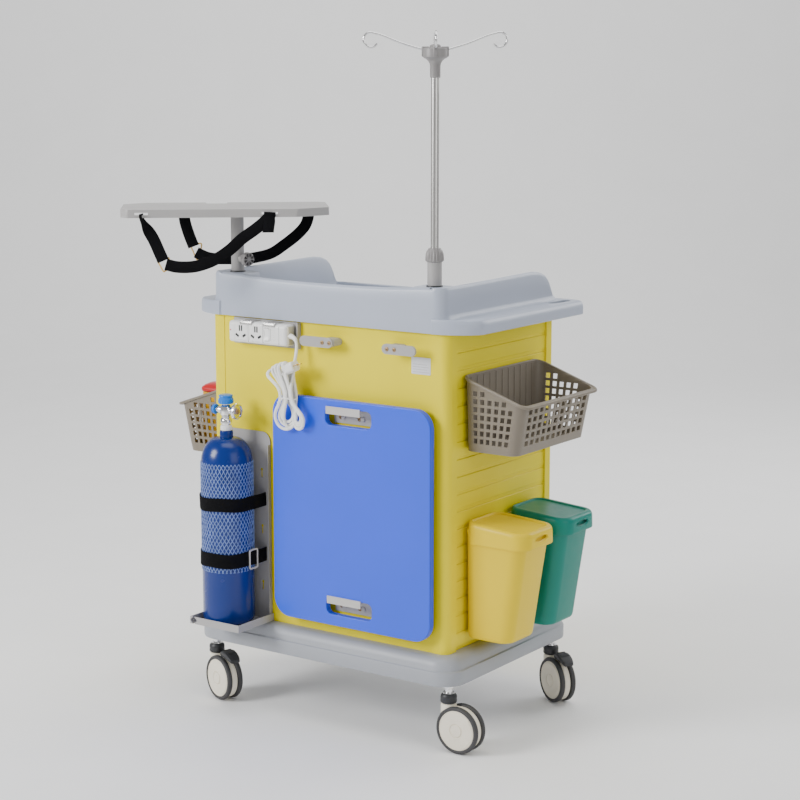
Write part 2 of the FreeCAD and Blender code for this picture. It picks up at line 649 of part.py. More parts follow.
def oxygen_bracket():
    """A back plate with keyholes and a tray whose folded rims are cut away at the near corner."""
    left, right = "-holder_left", "holder_wide - holder_left"
    floor, deep = "holder_low", "holder_front - body_depth / 2"
    back = box("oxygen_back", (f"{left} + 2", "-body_depth / 2 - 2", floor),
               ("holder_wide - 6", 2, "holder_high - holder_low"))
    soft = rounded("oxygen_back_round", back, 22,
                   lambda edge: abs(edge.CenterOfMass.z - size("holder_high")) < 1
                   and edge.BoundBox.YLength > 1 and edge.BoundBox.XLength < 1)
    shelf = box("oxygen_shelf", (left, "-holder_front", floor), ("holder_wide", deep, 2))
    rims = [box("oxygen_rim_front", (left, "-holder_front", floor), ("holder_wide", 2, "holder_rim")),
            box("oxygen_rim_left", (left, "-holder_front", floor), (2, deep, "holder_rim")),
            box("oxygen_rim_right", (f"{right} - 2", "-holder_front", floor), (2, deep, "holder_rim"))]
    flange = box("oxygen_flange", (f"{right} - 6", -220, floor), (2, "220 - body_depth / 2", 390))
    made = fuse("oxygen_holder", soft, shelf, flange, *rims)
    holes = []
    for i, z in enumerate((285, 410, 535)):
        holes.append(rod(f"keyhole_{i}", (-172, "-body_depth / 2 + 1", z), 3.5, 5, ((1, 0, 0), 90)))
        holes.append(box(f"keyslot_{i}", (-174, "-body_depth / 2 - 4", f"{z} - 18"), (4, 5, 18)))
    top = f"{floor} + holder_rim"
    for i, x in enumerate((left, right)):
        holes.append(box(f"rim_notch_{i}", (x, "-holder_front - 10", f"{top} - 8"), (14, 20, 14),
                         ((0, 1, 0), 45)))
    keep("oxygen_bracket", cut("oxygen_holder_cut", made, *holes))


def oxygen_bottle():
    spot = -size("bottle_x"), -size("bottle_y"), 0
    body = new_body("oxygen_cylinder_body")
    low, radius, neck = "bottle_low", "bottle_radius", "neck_radius"
    profile = ((0, low), (f"{radius} - 9", low), (radius, f"{low} + 9"), (radius, 556),
               (f"{radius} - 4", 574),
               (f"{radius} - 14", 590), (f"{radius} - 28", 602), (f"{neck} + 4", 608), (neck, 612),
               (neck, "neck_high"), (0, "neck_high"))
    revolve(body, "bottle_profile", profile)
    keep("oxygen_cylinder", body, spot)
    outer = rod("net_outer", (0, 0, "net_low"), "bottle_radius + net_thick", "net_high - net_low")
    inner = rod("net_inner", (0, 0, "net_low - 1"), "bottle_radius", "net_high - net_low + 2")
    crown = rod("net_crown", (0, 0, 554), "bottle_radius + 3", 20)
    keep("oxygen_net", cut("net", outer, inner, crown), spot)


def oxygen_valve():
    spot = -size("bottle_x"), -size("bottle_y"), 0
    level = "valve_level"
    ring = rod("neck_ring", (0, 0, "neck_high"), 12.5, "ring_tall")
    block = rod("valve_block", (0, 0, "neck_high + ring_tall"), 11, 46)
    side = rod("valve_side", (0, 0, level), 7, 26, ((0, 1, 0), -90))
    arm = rod("valve_arm", (0, 0, level), 7, 22, ((0, 1, 0), 90))
    bore = rod("valve_bore", (10, 0, level), "4 + run_gap", 14, ((0, 1, 0), 90))
    keep("oxygen_valve", cut("valve", fuse("valve_rough", ring, block, side, arm), bore), spot)
    top = rod("cap_top", (0, 0, "neck_high + ring_tall + 46"), 16, 19)
    left = rod("cap_side", (-26, 0, level), 10, 9, ((0, 1, 0), -90))
    keep("oxygen_valve_caps", group("caps", top, left), spot)
    spindle = rod("knob_spindle", (11, 0, level), 4, 19, ((0, 1, 0), 90))
    wheel = rod("knob_wheel", (26, 0, level), 17, 8, ((0, 1, 0), 90))
    keep("oxygen_valve_knob", fuse("knob", spindle, wheel), spot)


def oxygen_straps():
    """Two webbing straps round the bottle, open at the back, and the wire buckle of the lower one."""
    spot = -size("bottle_x"), -size("bottle_y"), 0
    grow = "bottle_radius + net_thick"
    straps = []
    for name, low, tall in (("upper", "strap_upper", 30), ("lower", "strap_lower", 32)):
        outer = rod(name + "_strap_outer", (0, 0, low), f"{grow} + strap_thick", tall)
        legs = box(name + "_strap_legs", (f"-({grow} + strap_thick)", 0, low),
                   (f"2 * ({grow} + strap_thick)", "bottle_y - body_depth / 2 - 2", tall))
        hole = rod(name + "_strap_hole", (0, 0, f"{low} - 1"), grow, tall + 2)
        space = box(name + "_strap_space", (f"-({grow})", 0, f"{low} - 1"), (f"2 * ({grow})", 80, tall + 2))
        straps.append(cut(name + "_strap", fuse(name + "_strap_rough", outer, legs), hole, space))
    frame = box("buckle_frame", ("bottle_radius + 4.2", -2, "strap_lower - 6"), (3, 26, 42))
    window = box("buckle_window", ("bottle_radius + 3", 2, "strap_lower - 2"), (6, 18, 34))
    straps.append(cut("buckle", frame, window))
    keep("oxygen_straps", group("straps_and_buckle", *straps), spot)


# ---------------------------------------------------------------- monitor shelf

def shelf_post():
    spot = -size("post_x"), -size("post_y"), 0
    turn = size("knob_turn")
    upper = rod("spigot_upper", (0, 0, "tray_high"), "spigot_radius", 100)
    lower = rod("spigot_lower", (0, 0, "tray_work - 16"), "seat_radius", "tray_high - tray_work + 16")
    keep("shelf_spigot", fuse("spigot_all", lower, upper), spot)

    tube = rod("post_tube", (0, 0, "tray_high + 0.3"), "post_radius", "shelf_low - tray_high - 0.3 + 14")
    bore = rod("post_bore", (0, 0, "tray_high"), "spigot_radius + run_gap", 104)
    boss = rod("post_boss", (12, 0, "knob_level"), 8, 12, ((0, 1, 0), 90))
    thread = rod("post_thread", (11.5, 0, "knob_level"), 4, 16, ((0, 1, 0), 90))
    hollow = cut("post_hollow", fuse("post_solid", tube, boss), bore, thread)
    keep("shelf_post", hollow, spot, turn)
    stem = rod("knob_stem", (12.5, 0, "knob_level"), "4 - run_gap", 18, ((0, 1, 0), 90))
    head = rod("knob_head", (29, 0, "knob_level"), "knob_radius", 12, ((0, 1, 0), 90))
    keep("shelf_post_knob", fuse("post_knob", stem, head), spot, turn)


def monitor_shelf():
    """A folded steel plate with a turned-down rim, strap slots and a notch in its far edge."""
    spot = -size("post_x"), -size("post_y"), 0
    body = new_body("monitor_shelf_body")
    left, right = "-(shelf_length / 2 + 25)", "shelf_length / 2 - 25"
    near, far = "-shelf_depth / 2", "shelf_depth / 2"
    corners = ((f"{left} + 14", near), (f"{right} - 70", near), (right, f"{near} + 48"),
               (right, f"{far} - 14"), (f"{right} - 14", far), (-20, far), (-20, f"{far} - 34"),
               (-66, f"{far} - 34"), (-66, far), (f"{left} + 50", far), (left, f"{far} - 40"),
               (left, f"{near} + 16"))
    pad(body, outline(body, "shelf_plan", "XY_Plane", corners, "shelf_low"), "shelf_top - shelf_low")
    soften(body, 8, upright, "shelf_corners")
    inner = ((f"{left} + 18", f"{near} + 2"), (f"{right} - 71", f"{near} + 2"),
             (f"{right} - 2", f"{near} + 49"), (f"{right} - 2", f"{far} - 15"),
             (f"{right} - 15", f"{far} - 2"), (-18, f"{far} - 2"), (-18, f"{far} - 36"),
             (-68, f"{far} - 36"), (-68, f"{far} - 2"), (f"{left} + 51", f"{far} - 2"),
             (f"{left} + 2", f"{far} - 41"), (f"{left} + 2", f"{near} + 17"))
    under = outline(body, "shelf_under", "XY_Plane", inner, "shelf_low")
    pocket(body, under, "shelf_top - shelf_low - 3", True)
    for i, (x, wide) in enumerate(((-215, 28), (50, 34), (-131, 34), (142, 34))):
        y = "-shelf_depth / 2 - 5" if i < 2 else "shelf_depth / 2 - 5"
        slot = plan(body, f"strap_slot_{i}", x, x + wide, y, f"{y} + 10", "shelf_low + 6")
        pocket(body, slot, 5, True)
    keep("monitor_shelf", body, spot, size("shelf_turn"))


# The middle of each strap, along the shelf and up. Side -1 is the near long edge and 1 the far one.
STRAP_PATHS = (
    (-1, ((-201, 1079), (-191, 1060), (-177, 1036), (-166, 1012), (-156, 992), (-138, 980), (-122, 977),
          (-97, 978), (-71, 984), (-45, 995), (-18, 1013), (8, 1036), (35, 1055), (54, 1069), (65, 1080))),
    (1, ((-115, 1079), (-111, 1052), (-104, 1026), (-95, 1000), (-84, 985), (-66, 976), (-46, 973),
         (-14, 972.8), (16, 972.8), (44, 976), (77, 986), (106, 1004), (132, 1024), (150, 1046),
         (158, 1079))),
)


def shelf_straps():
    """Two webbing straps that hang in a loop under the shelf, one along each long edge."""
    half, thick = size("webbing_width") / 2, size("webbing_thick")
    bands = []
    for side, path in STRAP_PATHS:
        spots = [FreeCAD.Vector(x, 0, z) for x, z in path]
        upper, lower = [], []
        for i, spot in enumerate(spots):
            ahead = (spots[min(i + 1, len(spots) - 1)] - spots[max(i - 1, 0)]).normalize()
            across = FreeCAD.Vector(-ahead.z, 0, ahead.x) * half
            upper.append(spot + across)
            lower.append(spot - across)
        face = Part.Face(Part.makePolygon(upper + lower[::-1] + upper[:1]))
        near = size("shelf_depth") / 2
        start = near if side > 0 else -near - thick
        face.translate(FreeCAD.Vector(0, start, 0))
        bands.append(face.extrude(FreeCAD.Vector(0, thick, 0)))
    return bands


def drip_pole():
    spot = size("post_x"), -size("post_y"), 0
    lower = rod("socket_lower", (0, 0, 600), "seat_radius", "tray_high - 600")
    upper = rod("socket_upper", (0, 0, "tray_high"), 14.75, 48)
    bore = rod("socket_bore", (0, 0, 599), "pole_radius + run_gap", 420)
    keep("iv_socket", cut("socket", fuse("socket_rough", lower, upper), bore), spot)
    ring = rod("nut_ring", (0, 0, "nut_low"), 18.5, "nut_high - nut_low")
    hole = rod("nut_hole", (0, 0, 1000), "pole_radius + run_gap", 40)
    keep("iv_lock_nut", cut("nut", ring, hole), spot)
    pole = rod("pole", (0, 0, "pole_low"), "pole_radius", "pole_high - pole_low")
    keep("iv_pole", group("pole_whole", pole), spot)


def hook_shape(turn):
    """One bag hook: a rising arm that runs over the top of an almost closed ring."""
    start, knee = FreeCAD.Vector(8, 0, 1424), FreeCAD.Vector(28, 0, 1427)
    centre, radius = FreeCAD.Vector(size("hook_reach"), 0, size("hook_level")), size("hook_ring")
    turns = [centre + FreeCAD.Vector(math.cos(a), 0, math.sin(a)) * radius
             for a in (math.radians(105), math.radians(-15), math.radians(-145))]
    arm = Part.LineSegment(start, knee).toShape()
    reach = Part.LineSegment(knee, turns[0]).toShape()
    ring = Part.Arc(*turns).toShape()
    section = Part.Wire([Part.makeCircle(size("hook_wire"), start, knee - start)])
    solid = Part.Wire([arm, reach, ring]).makePipeShell([section], True, False, 2)
    solid.rotate(FreeCAD.Vector(), UP, turn)
    return solid


def drip_head():
    spot = size("post_x"), -size("post_y"), 0
    body = new_body("iv_head_body")
    profile = ((0, "pole_high"), (10.3, "pole_high"), (10.3, 1398), (14, 1408), (24, 1412), (26, 1416),
               (26, 1433), (23, 1437), (0, 1437))
    revolve(body, "head_profile", profile)
    doc.recompute()
    whole = body.Shape
    for quarter in range(4):
        whole = whole.fuse(hook_shape(size("hook_turn") + 90 * quarter))
    keep("iv_head", shaped("head_with_hooks", whole.removeSplitter()), spot)
    body.Label = "head_core"


# ---------------------------------------------------------------- baskets and bins

def basket(name, side, high):
    """A tapered open basket with a sloping rim. It is made facing +X and turned for the left side."""
    half, wall = "basket_length / 2", "basket_wall"
    low = f"{high} - basket_tall"
    outer = taper(name + "_outer", (0, 0, low), (0, "basket_foot", f"8 - {half}", f"{half} - 8"),
                  (0, "basket_deep", f"-({half})", half), "basket_tall")
    inner = taper(name + "_inner", (0, 0, f"{low} + {wall}"),
                  (wall, f"basket_foot - {wall}", f"8 - {half} + {wall}", f"{half} - 8 - {wall}"),
                  (wall, f"basket_deep - {wall}", f"{wall} - {half}", f"{half} - {wall}"), "basket_tall")
    slope = math.degrees(math.atan2(size("basket_drop"), size("basket_deep")))
    knife = box(name + "_knife", (0, "-basket_length", high), (400, "2 * basket_length", 200),
                ((0, 1, 0), slope))
    spot = side * (size("body_width") / 2 + 1), size("basket_middle"), 0
    keep(name, cut(name + "_cut", outer, inner, knife), spot, 0 if side > 0 else 180)


def sharps_box():
    low = "basket_left_high - basket_tall + basket_wall"
    keep("sharps_box", cut("sharps", box("sharps_outer", (-424, -118, low), (94, 104, 126)),
                           box("sharps_inner", (-422, -116, f"{low} + 2"), (90, 100, 130))))
    lid = box("sharps_cover", (-427, -121, 669), (100, 110, 22))
    soft = rounded("sharps_cover_soft", lid, 9, lambda edge: edge.BoundBox.ZMin > 690)
    under = box("sharps_under", (-424.5, -118.5, 668), (95, 105, 3))
    keep("sharps_lid", cut("sharps_cover_cut", soft, under))


def waste_bin(name, near):
    """A tapered bin and its lid, whose skirt covers the rim on three sides."""
    middle = f"{near} + bin_length / 2"
    half, wall = "bin_length / 2 - 4", "bin_wall"
    tall = "bin_high - bin_low"
    start = "body_width / 2 + 1"
    outer = taper(name + "_outer", (start, middle, "bin_low"),
                  (0, "bin_deep - 40", f"10 - ({half})", f"{half} - 10"),
                  (0, "bin_deep - 6", f"-({half})", half), tall)
    inner = taper(name + "_inner", (start, middle, f"bin_low + {wall}"),
                  (wall, f"bin_deep - 40 - {wall}", f"10 - ({half}) + {wall}", f"{half} - 10 - {wall}"),
                  (wall, f"bin_deep - 6 - {wall}", f"{wall} - ({half})", f"{half} - {wall}"), tall)
    keep(name, cut(name + "_open", outer, inner))

    cover = box(name + "_cover", (f"{start} + 3", near, "bin_high - 28"),
                ("bin_deep", "bin_length", "lid_high - bin_high + 28"))
    slope = box(name + "_slope", (f"{start} + 3", f"{near} - 5", "lid_high"), (300, "bin_length + 10", 60),
                ((0, 1, 0), 4.2))
    far_x = size("body_width") / 2 + 4 + size("bin_deep")
    soft = rounded(name + "_cover_round", cover, 10, lambda edge: upright(edge)
                   and abs(edge.CenterOfMass.x - far_x) < 1)
    space = box(name + "_lid_space", (start, f"{near} + 3", "bin_high - 29"),
                ("bin_deep", "bin_length - 6", "30"))
    grip = box(name + "_grip", (f"{start} + bin_deep + 1", f"{middle} - 28", "bin_high - 24"), (8, 56, 9))
    keep(name + "_lid", cut(name + "_lid_cut", soft, slope, space, grip))


def hook_plates():
    """Thin steel plates that hold the baskets and bins to the slatted sides."""
    plates = []
    face = "body_width / 2 - slat_recess"
    for side, lows in ((1, ("basket_right_high - 90", "bin_high - 90")), (-1, ("basket_left_high - 90",))):
        for row, low in enumerate(lows):
            for y in (-110, 60):
                x = face if side > 0 else "-body_width / 2 - 1"
                plates.append(box(f"side_plate_{side + 1}_{row}_{y + 110}", (x, y, low),
                                  ("slat_recess + 1", 40, 60)))
    keep("hook_plates", group("side_plates", *plates))


# ---------------------------------------------------------------- the whole trolley

def build():
    base_deck()
    chassis_frame()
    corner_columns()
    rear_panel()
    side_slats("side_slats_right", 1)
    side_slats("side_slats_left", -1)
    top_tray()
    drawer_runners()
    front_rail()
    for number, low, tall in drawer_rows():
        drawer(number, low, tall)
    caster_stems()
    for tag in CASTERS:
        caster(tag)
    cpr_board()
    cpr_brackets()
    cord_cleats()
    power_strip()
    power_cord()
    oxygen_bracket()
    oxygen_bottle()
    oxygen_valve()
    oxygen_straps()
    shelf_post()
    monitor_shelf()
    spot = -size("post_x"), -size("post_y"), 0
    keep("shelf_straps", shaped("webbing", Part.Compound(shelf_straps())), spot, size("shelf_turn"))
    drip_pole()
    drip_head()
    basket("basket_right", 1, "basket_right_high")
    basket("basket_left", -1, "basket_left_high")
    sharps_box()
    waste_bin("bin_yellow", "bin_near")
    waste_bin("bin_green", "bin_far")
    hook_plates()


def check_and_write():
    doc.recompute()
    broken = [thing.Label for thing in doc.Objects if "Invalid" in thing.State or "Error" in thing.State]
    if broken:
        raise RuntimeError("failed objects: " + ", ".join(broken))
    for name, thing in NODES.items():
        if thing.Shape.isNull() or not thing.Shape.isValid() or not thing.Shape.Solids:
            raise RuntimeError(name + " has no valid solid")
        thing.Shape.exportStep(f"parts/{name}.step")
    print(len(NODES), "parts written")


build()
check_and_write()
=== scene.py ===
import json
import math

import bmesh
import bpy
from mathutils import Matrix, Vector

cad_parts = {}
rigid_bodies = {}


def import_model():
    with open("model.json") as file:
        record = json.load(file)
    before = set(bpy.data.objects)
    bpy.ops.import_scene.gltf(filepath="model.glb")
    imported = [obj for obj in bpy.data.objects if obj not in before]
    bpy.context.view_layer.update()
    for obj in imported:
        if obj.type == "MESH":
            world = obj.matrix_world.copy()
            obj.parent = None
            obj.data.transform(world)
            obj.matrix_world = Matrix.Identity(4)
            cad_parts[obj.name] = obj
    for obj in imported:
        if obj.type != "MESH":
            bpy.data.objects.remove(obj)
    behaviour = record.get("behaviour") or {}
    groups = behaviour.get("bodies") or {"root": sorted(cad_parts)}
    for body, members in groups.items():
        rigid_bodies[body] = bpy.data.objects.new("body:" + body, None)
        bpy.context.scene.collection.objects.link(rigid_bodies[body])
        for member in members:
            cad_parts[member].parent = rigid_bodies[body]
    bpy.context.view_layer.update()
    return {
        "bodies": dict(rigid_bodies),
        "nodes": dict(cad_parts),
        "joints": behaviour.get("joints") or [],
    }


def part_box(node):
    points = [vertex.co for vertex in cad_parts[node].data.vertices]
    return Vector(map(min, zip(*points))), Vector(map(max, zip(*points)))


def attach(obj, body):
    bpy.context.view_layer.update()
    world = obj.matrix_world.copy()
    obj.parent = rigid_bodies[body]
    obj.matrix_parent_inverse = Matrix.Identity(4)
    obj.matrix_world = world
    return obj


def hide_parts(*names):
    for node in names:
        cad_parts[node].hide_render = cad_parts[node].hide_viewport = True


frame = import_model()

# An emergency trolley. Places are in millimetres in this script and become metres when a mesh is made.
MM = 0.001
JOINTS = {joint["name"]: joint for joint in frame["joints"]}


# ---------------------------------------------------------------- meshes

def span(node):
    """The lowest and highest corners of a CAD node, in millimetres."""
    low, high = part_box(node)
    return low / MM, high / MM


def in_metres(mesh, name):
    """Turns a bmesh in millimetres into mesh data in metres."""
    data = bpy.data.meshes.new(name)
    mesh.to_mesh(data)
    mesh.free()
    data.transform(Matrix.Scale(MM, 4))
    return data


def put(name, data):
    """Makes an object of the data and puts it in the scene."""
    made = bpy.data.objects.new(name, data)
    bpy.context.scene.collection.objects.link(made)
    return made


def point_at(thing, direction):
    """Turns a camera or lamp to look along a direction."""
    thing.rotation_mode = "QUATERNION"
    thing.rotation_quaternion = direction.to_track_quat("-Z", "Y")


def add(name, mesh, body, material, replaces=(), sharp=35):
    """Makes a piece of a bmesh in millimetres or of ready data, with its material and body, and hides the CAD
    nodes that it replaces.
    """
    data = mesh
    if isinstance(mesh, bmesh.types.BMesh):
        bmesh.ops.recalc_face_normals(mesh, faces=mesh.faces)
        data = in_metres(mesh, name)
        data.shade_smooth()
        data.set_sharp_from_angle(angle=math.radians(sharp))
    piece = put(name, data)
    for one in material if isinstance(material, (list, tuple)) else [material]:
        data.materials.append(one)
    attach(piece, body)
    if replaces:
        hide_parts(*replaces)
    return piece


def loft(mesh, rings, closed=True, caps=(True, True), material=0):
    """Joins rings of the same number of points with quads, and caps the ends."""
    made = [[mesh.verts.new(point) for point in ring] for ring in rings]
    count = len(made[0])
    sides = count if closed else count - 1
    for lower, upper in zip(made, made[1:]):
        for i in range(sides):
            j = (i + 1) % count
            mesh.faces.new((lower[i], lower[j], upper[j], upper[i])).material_index = material
    if caps[0]:
        mesh.faces.new(made[0][::-1]).material_index = material
    if caps[1]:
        mesh.faces.new(made[-1]).material_index = material
    return made


def angles(steps):
    """The angles of equal steps round a circle."""
    return [step * math.tau / steps for step in range(steps)]


def circle(radius, steps=10):
    """The (x, y) points of a circle."""
    return [(radius * math.cos(angle), radius * math.sin(angle)) for angle in angles(steps)]


def squircle(power, steps):
    """The (x, y) points of a unit square with rounded sides: the lower the power, the squarer."""
    return [(math.copysign(abs(c) ** power, c), math.copysign(abs(s) ** power, s)) for c,
            s in circle(1, steps)]


def vectors(*points):
    """Points given as bare rows, as vectors."""
    return [Vector(point) for point in points]


def lathe(mesh, profile, place=Matrix.Identity(4), steps=48, material=0):
    """Turns a (radius, height) profile about Z and places it. Zero radii close the ends."""
    return loft(mesh, [[place @ Vector((x, y, height)) for x, y in circle(max(radius, 0.02), steps)]
                       for radius, height in profile], material=material)


def rounded_plan(x0, x1, y0, y1, radius, z=0, steps=8):
    """A rectangle with round corners at one height, as a ring of points."""
    ring = []
    for cx, cy, start in ((x1 - radius, y1 - radius, 0), (x0 + radius, y1 - radius, 90),
                          (x0 + radius, y0 + radius, 180), (x1 - radius, y0 + radius, 270)):
        for step in range(steps + 1):
            angle = math.radians(start + 90 * step / steps)
            ring.append(Vector((cx + radius * math.cos(angle), cy + radius * math.sin(angle), z)))
    return ring


def inset_rings(low, high, rows, radius, steps):
    """Rounded plans of a box, one for each (inset, height) row. radius gives the corner at an inset."""
    return [rounded_plan(low.x + inset, high.x - inset, low.y + inset, high.y - inset, radius(inset), z,
                         steps)
            for inset, z in rows]


def block(mesh, low, high, radius=3, edge=1.0, place=Matrix.Identity(4), material=0):
    """A box with round upright corners of one radius and softened top and bottom edges."""
    rings = []
    for inset, z in ((edge, low[2]), (edge * 0.3, low[2] + edge * 0.3), (0, low[2] + edge),
                     (0, high[2] - edge),
                     (edge * 0.3, high[2] - edge * 0.3), (edge, high[2])):
        corner = max(radius - inset, 0.3)
        ring = rounded_plan(low[0] + inset, high[0] - inset, low[1] + inset, high[1] - inset, corner, z, 5)
        rings.append([place @ point for point in ring])
    return loft(mesh, rings, material=material)


def sweep(mesh, path, section, closed=False, up=Vector((0, 0, 1)), material=0):
    """Carries a section, given as (sideways, upward) pairs, along a path."""
    count = len(path)
    rings = []
    for i, point in enumerate(path):
        before = path[i - 1] if i or closed else point
        after = path[(i + 1) % count] if i < count - 1 or closed else point
        ahead = (after - before).normalized()
        side = ahead.cross(up).normalized()
        top = side.cross(ahead).normalized()
        rings.append([point + side * s + top * t for s, t in section])
    if closed:
        rings.append(rings[0])
    loft(mesh, rings, caps=(not closed, not closed), material=material)
    if closed:
        bmesh.ops.remove_doubles(mesh, verts=mesh.verts, dist=0.001)


def smooth_path(points, steps=6):
    """A Catmull-Rom curve through the points."""
    ends = [points[0] * 2 - points[1]] + list(points) + [points[-1] * 2 - points[-2]]
    path = []
    for a, b, c, d in zip(ends, ends[1:], ends[2:], ends[3:]):
        for step in range(steps):
            t = step / steps
            path.append(0.5 * (2 * b + (c - a) * t + (2 * a - 5 * b + 4 * c - d) * t ** 2
                               + (3 * b - a - 3 * c + d) * t ** 3))
    path.append(points[-1])
    return path


def aim(direction, origin=(0, 0, 0)):
    """A matrix that turns +Z to a direction and moves to a point."""
    turn = Vector(direction).to_track_quat("Z", "Y").to_matrix().to_4x4()
    return Matrix.Translation(Vector(origin)) @ turn


def spokes(place, count, start=0.0):
    """A frame turned about its own Z in equal steps, one for each spoke."""
    return [place @ Matrix.Rotation(start + angle, 4, "Z") for angle in angles(count)]


def on_rear(x, y, z):
    """A frame on the rear face: its X runs along X, its Y up and its Z out of the face along -Y."""
    return Matrix(((1, 0, 0, x), (0, 0, -1, y), (0, 1, 0, z), (0, 0, 0, 1)))


def cut_away(piece, mesh, name):
    """Takes a closed mesh, in millimetres, out of a piece."""
    bmesh.ops.recalc_face_normals(mesh, faces=mesh.faces)
    cutter = put(name, in_metres(mesh, name))
    modifier = piece.modifiers.new("cut", "BOOLEAN")
    modifier.object = cutter
    modifier.solver = "EXACT"
    modifier.use_self = True
    bpy.context.view_layer.update()
    graph = bpy.context.evaluated_depsgraph_get()
    result = bpy.data.meshes.new_from_object(piece.evaluated_get(graph))
    piece.modifiers.clear()
    piece.data = result
    result.shade_smooth()
    result.set_sharp_from_angle(angle=math.radians(35))
    bpy.data.objects.remove(cutter)
    return piece


def bevel(piece, width, segments=2):
    """Softens a piece's sharp edges by a width in millimetres."""
    modifier = piece.modifiers.new("soft_edges", "BEVEL")
    modifier.width = width * MM
    modifier.segments = segments
    modifier.limit_method = "ANGLE"
    modifier.angle_limit = math.radians(40)
    modifier.harden_normals = True
    return piece


# ---------------------------------------------------------------- materials

def node(nodes, kind, inputs=(), **settings):
    """A shader node with its settings and the values of its inputs."""
    made = nodes.new("ShaderNode" + kind)
    for key, value in settings.items():
        setattr(made, key, value)
    for key, value in dict(inputs).items():
        made.inputs[key].default_value = value
    return made


def surface(name, colour, rough, metal=0.0, coat=0.0, vary=0.05, patch=5.0, grain=900.0, bump=0.06, wear=0.1,
            stretch=(1, 1, 1), shine=0.5):
    """A material with broad colour variation, uneven roughness, a fine grain and rubbed edges."""
    made = bpy.data.materials.new(name)
    made.use_nodes = True
    nodes, links = made.node_tree.nodes, made.node_tree.links
    shader = nodes["Principled BSDF"]
    for key, value in (("Metallic", metal), ("Coat Weight", coat), ("Coat Roughness", 0.12),
                       ("Specular IOR Level", shine)):
        shader.inputs[key].default_value = value
    place = node(nodes, "TexCoord").outputs["Object"]

    def noise(scale, detail, stretched=False):
        texture = node(nodes, "TexNoise", {"Scale": scale, "Detail": detail})
        source = place
        if stretched:
            mapping = node(nodes, "Mapping", {"Scale": stretch})
            links.new(place, mapping.inputs["Vector"])
            source = mapping.outputs["Vector"]
        links.new(source, texture.inputs["Vector"])
        return texture.outputs["Fac"]

    ramp = node(nodes, "ValToRGB")
    for stop, position, factor in zip(ramp.color_ramp.elements, (0.3, 0.7), (1 - vary, 1 + vary)):
        stop.position = position
        stop.color = (*[min(c * factor, 1) for c in colour], 1)
    links.new(noise(patch, 3), ramp.inputs["Fac"])
    tint = ramp.outputs["Color"]
    if wear:
        edge = node(nodes, "Bevel", {"Radius": 0.0015}, samples=4)
        face = node(nodes, "NewGeometry")
        dot = node(nodes, "VectorMath", operation="DOT_PRODUCT")
        links.new(edge.outputs["Normal"], dot.inputs[0])
        links.new(face.outputs["Normal"], dot.inputs[1])
        mask = node(nodes, "MapRange", {"From Min": 0.995, "From Max": 0.8, "To Max": wear})
        links.new(dot.outputs["Value"], mask.inputs["Value"])
        rubbed = node(nodes, "Mix", {"B": (*[min(c * 1.5 + 0.06, 1) for c in colour], 1)}, data_type="RGBA")
        links.new(mask.outputs["Result"], rubbed.inputs["Factor"])
        links.new(tint, rubbed.inputs["A"])
        tint = rubbed.outputs["Result"]
    links.new(tint, shader.inputs["Base Color"])
    uneven = node(nodes, "MapRange", {"To Min": max(rough - 0.06, 0.02), "To Max": rough + 0.08})
    links.new(noise(patch * 9, 4, True), uneven.inputs["Value"])
    links.new(uneven.outputs["Result"], shader.inputs["Roughness"])
    relief = node(nodes, "Bump", {"Strength": bump, "Distance": 0.0004})
    links.new(noise(grain, 2, True), relief.inputs["Height"])
    links.new(relief.outputs["Normal"], shader.inputs["Normal"])
    return made


def webbing(name, colour):
    """Woven webbing: ribs along the band and a fine cross weave, placed by the band's own UV in metres."""
    made = surface(name, colour, 0.8, vary=0.15, patch=40, grain=1500, bump=0.2, wear=0, shine=0.12)
    nodes, links = made.node_tree.nodes, made.node_tree.links
    uv = node(nodes, "UVMap")
    split = node(nodes, "SeparateXYZ")
    links.new(uv.outputs["UV"], split.inputs["Vector"])
    heights = []
    for axis, pitch in (("X", 0.0022), ("Y", 0.0014)):
        scaled = node(nodes, "Math", {1: math.tau / pitch}, operation="MULTIPLY")
        wave = node(nodes, "Math", operation="SINE")
        links.new(split.outputs[axis], scaled.inputs[0])
        links.new(scaled.outputs["Value"], wave.inputs[0])
        heights.append(wave.outputs["Value"])
    weave = node(nodes, "Math", operation="MULTIPLY")
    links.new(heights[0], weave.inputs[0])
    links.new(heights[1], weave.inputs[1])
    relief = node(nodes, "Bump", {"Strength": 0.6, "Distance": 0.0005})
    links.new(weave.outputs["Value"], relief.inputs["Height"])
    links.new(relief.outputs["Normal"], nodes["Principled BSDF"].inputs["Normal"])
    return made


YELLOW = surface("yellow_powder_coat", (0.84, 0.70, 0.0), 0.45, vary=0.03, wear=0.1, shine=0.25)
TRAY = surface("tray_plastic", (0.40, 0.44, 0.53), 0.38, coat=0.1, vary=0.03, grain=1400, bump=0.05)
BASE = surface("base_plastic", (0.33, 0.345, 0.375), 0.42, vary=0.04, grain=1400, bump=0.06)
BOARD = surface("board_plastic", (0.02, 0.085, 0.80), 0.32, coat=0.08, shine=0.4, vary=0.025, grain=500,
                bump=0.03)
STEEL = surface("grey_powder_coat", (0.36, 0.35, 0.345), 0.45, vary=0.04, grain=1100, bump=0.08, wear=0.2)
LIGHT_STEEL = surface("light_powder_coat", (0.50, 0.48, 0.46), 0.4, vary=0.04, grain=1100, bump=0.08,
                      wear=0.2)
BRUSHED = surface("brushed_steel", (0.62, 0.61, 0.59), 0.28, metal=1.0, vary=0.05, grain=700, bump=0.05,
                  stretch=(1, 1, 0.02))
CHROME = surface("chrome", (0.78, 0.78, 0.78), 0.09, metal=1.0, vary=0.03, grain=300, bump=0.01, wear=0)
BRASS = surface("brass", (0.62, 0.42, 0.14), 0.25, metal=1.0, vary=0.06, grain=400, bump=0.03)
RUST = surface("yellow_passivated_zinc", (0.42, 0.27, 0.13), 0.4, metal=0.7, vary=0.2, patch=200)
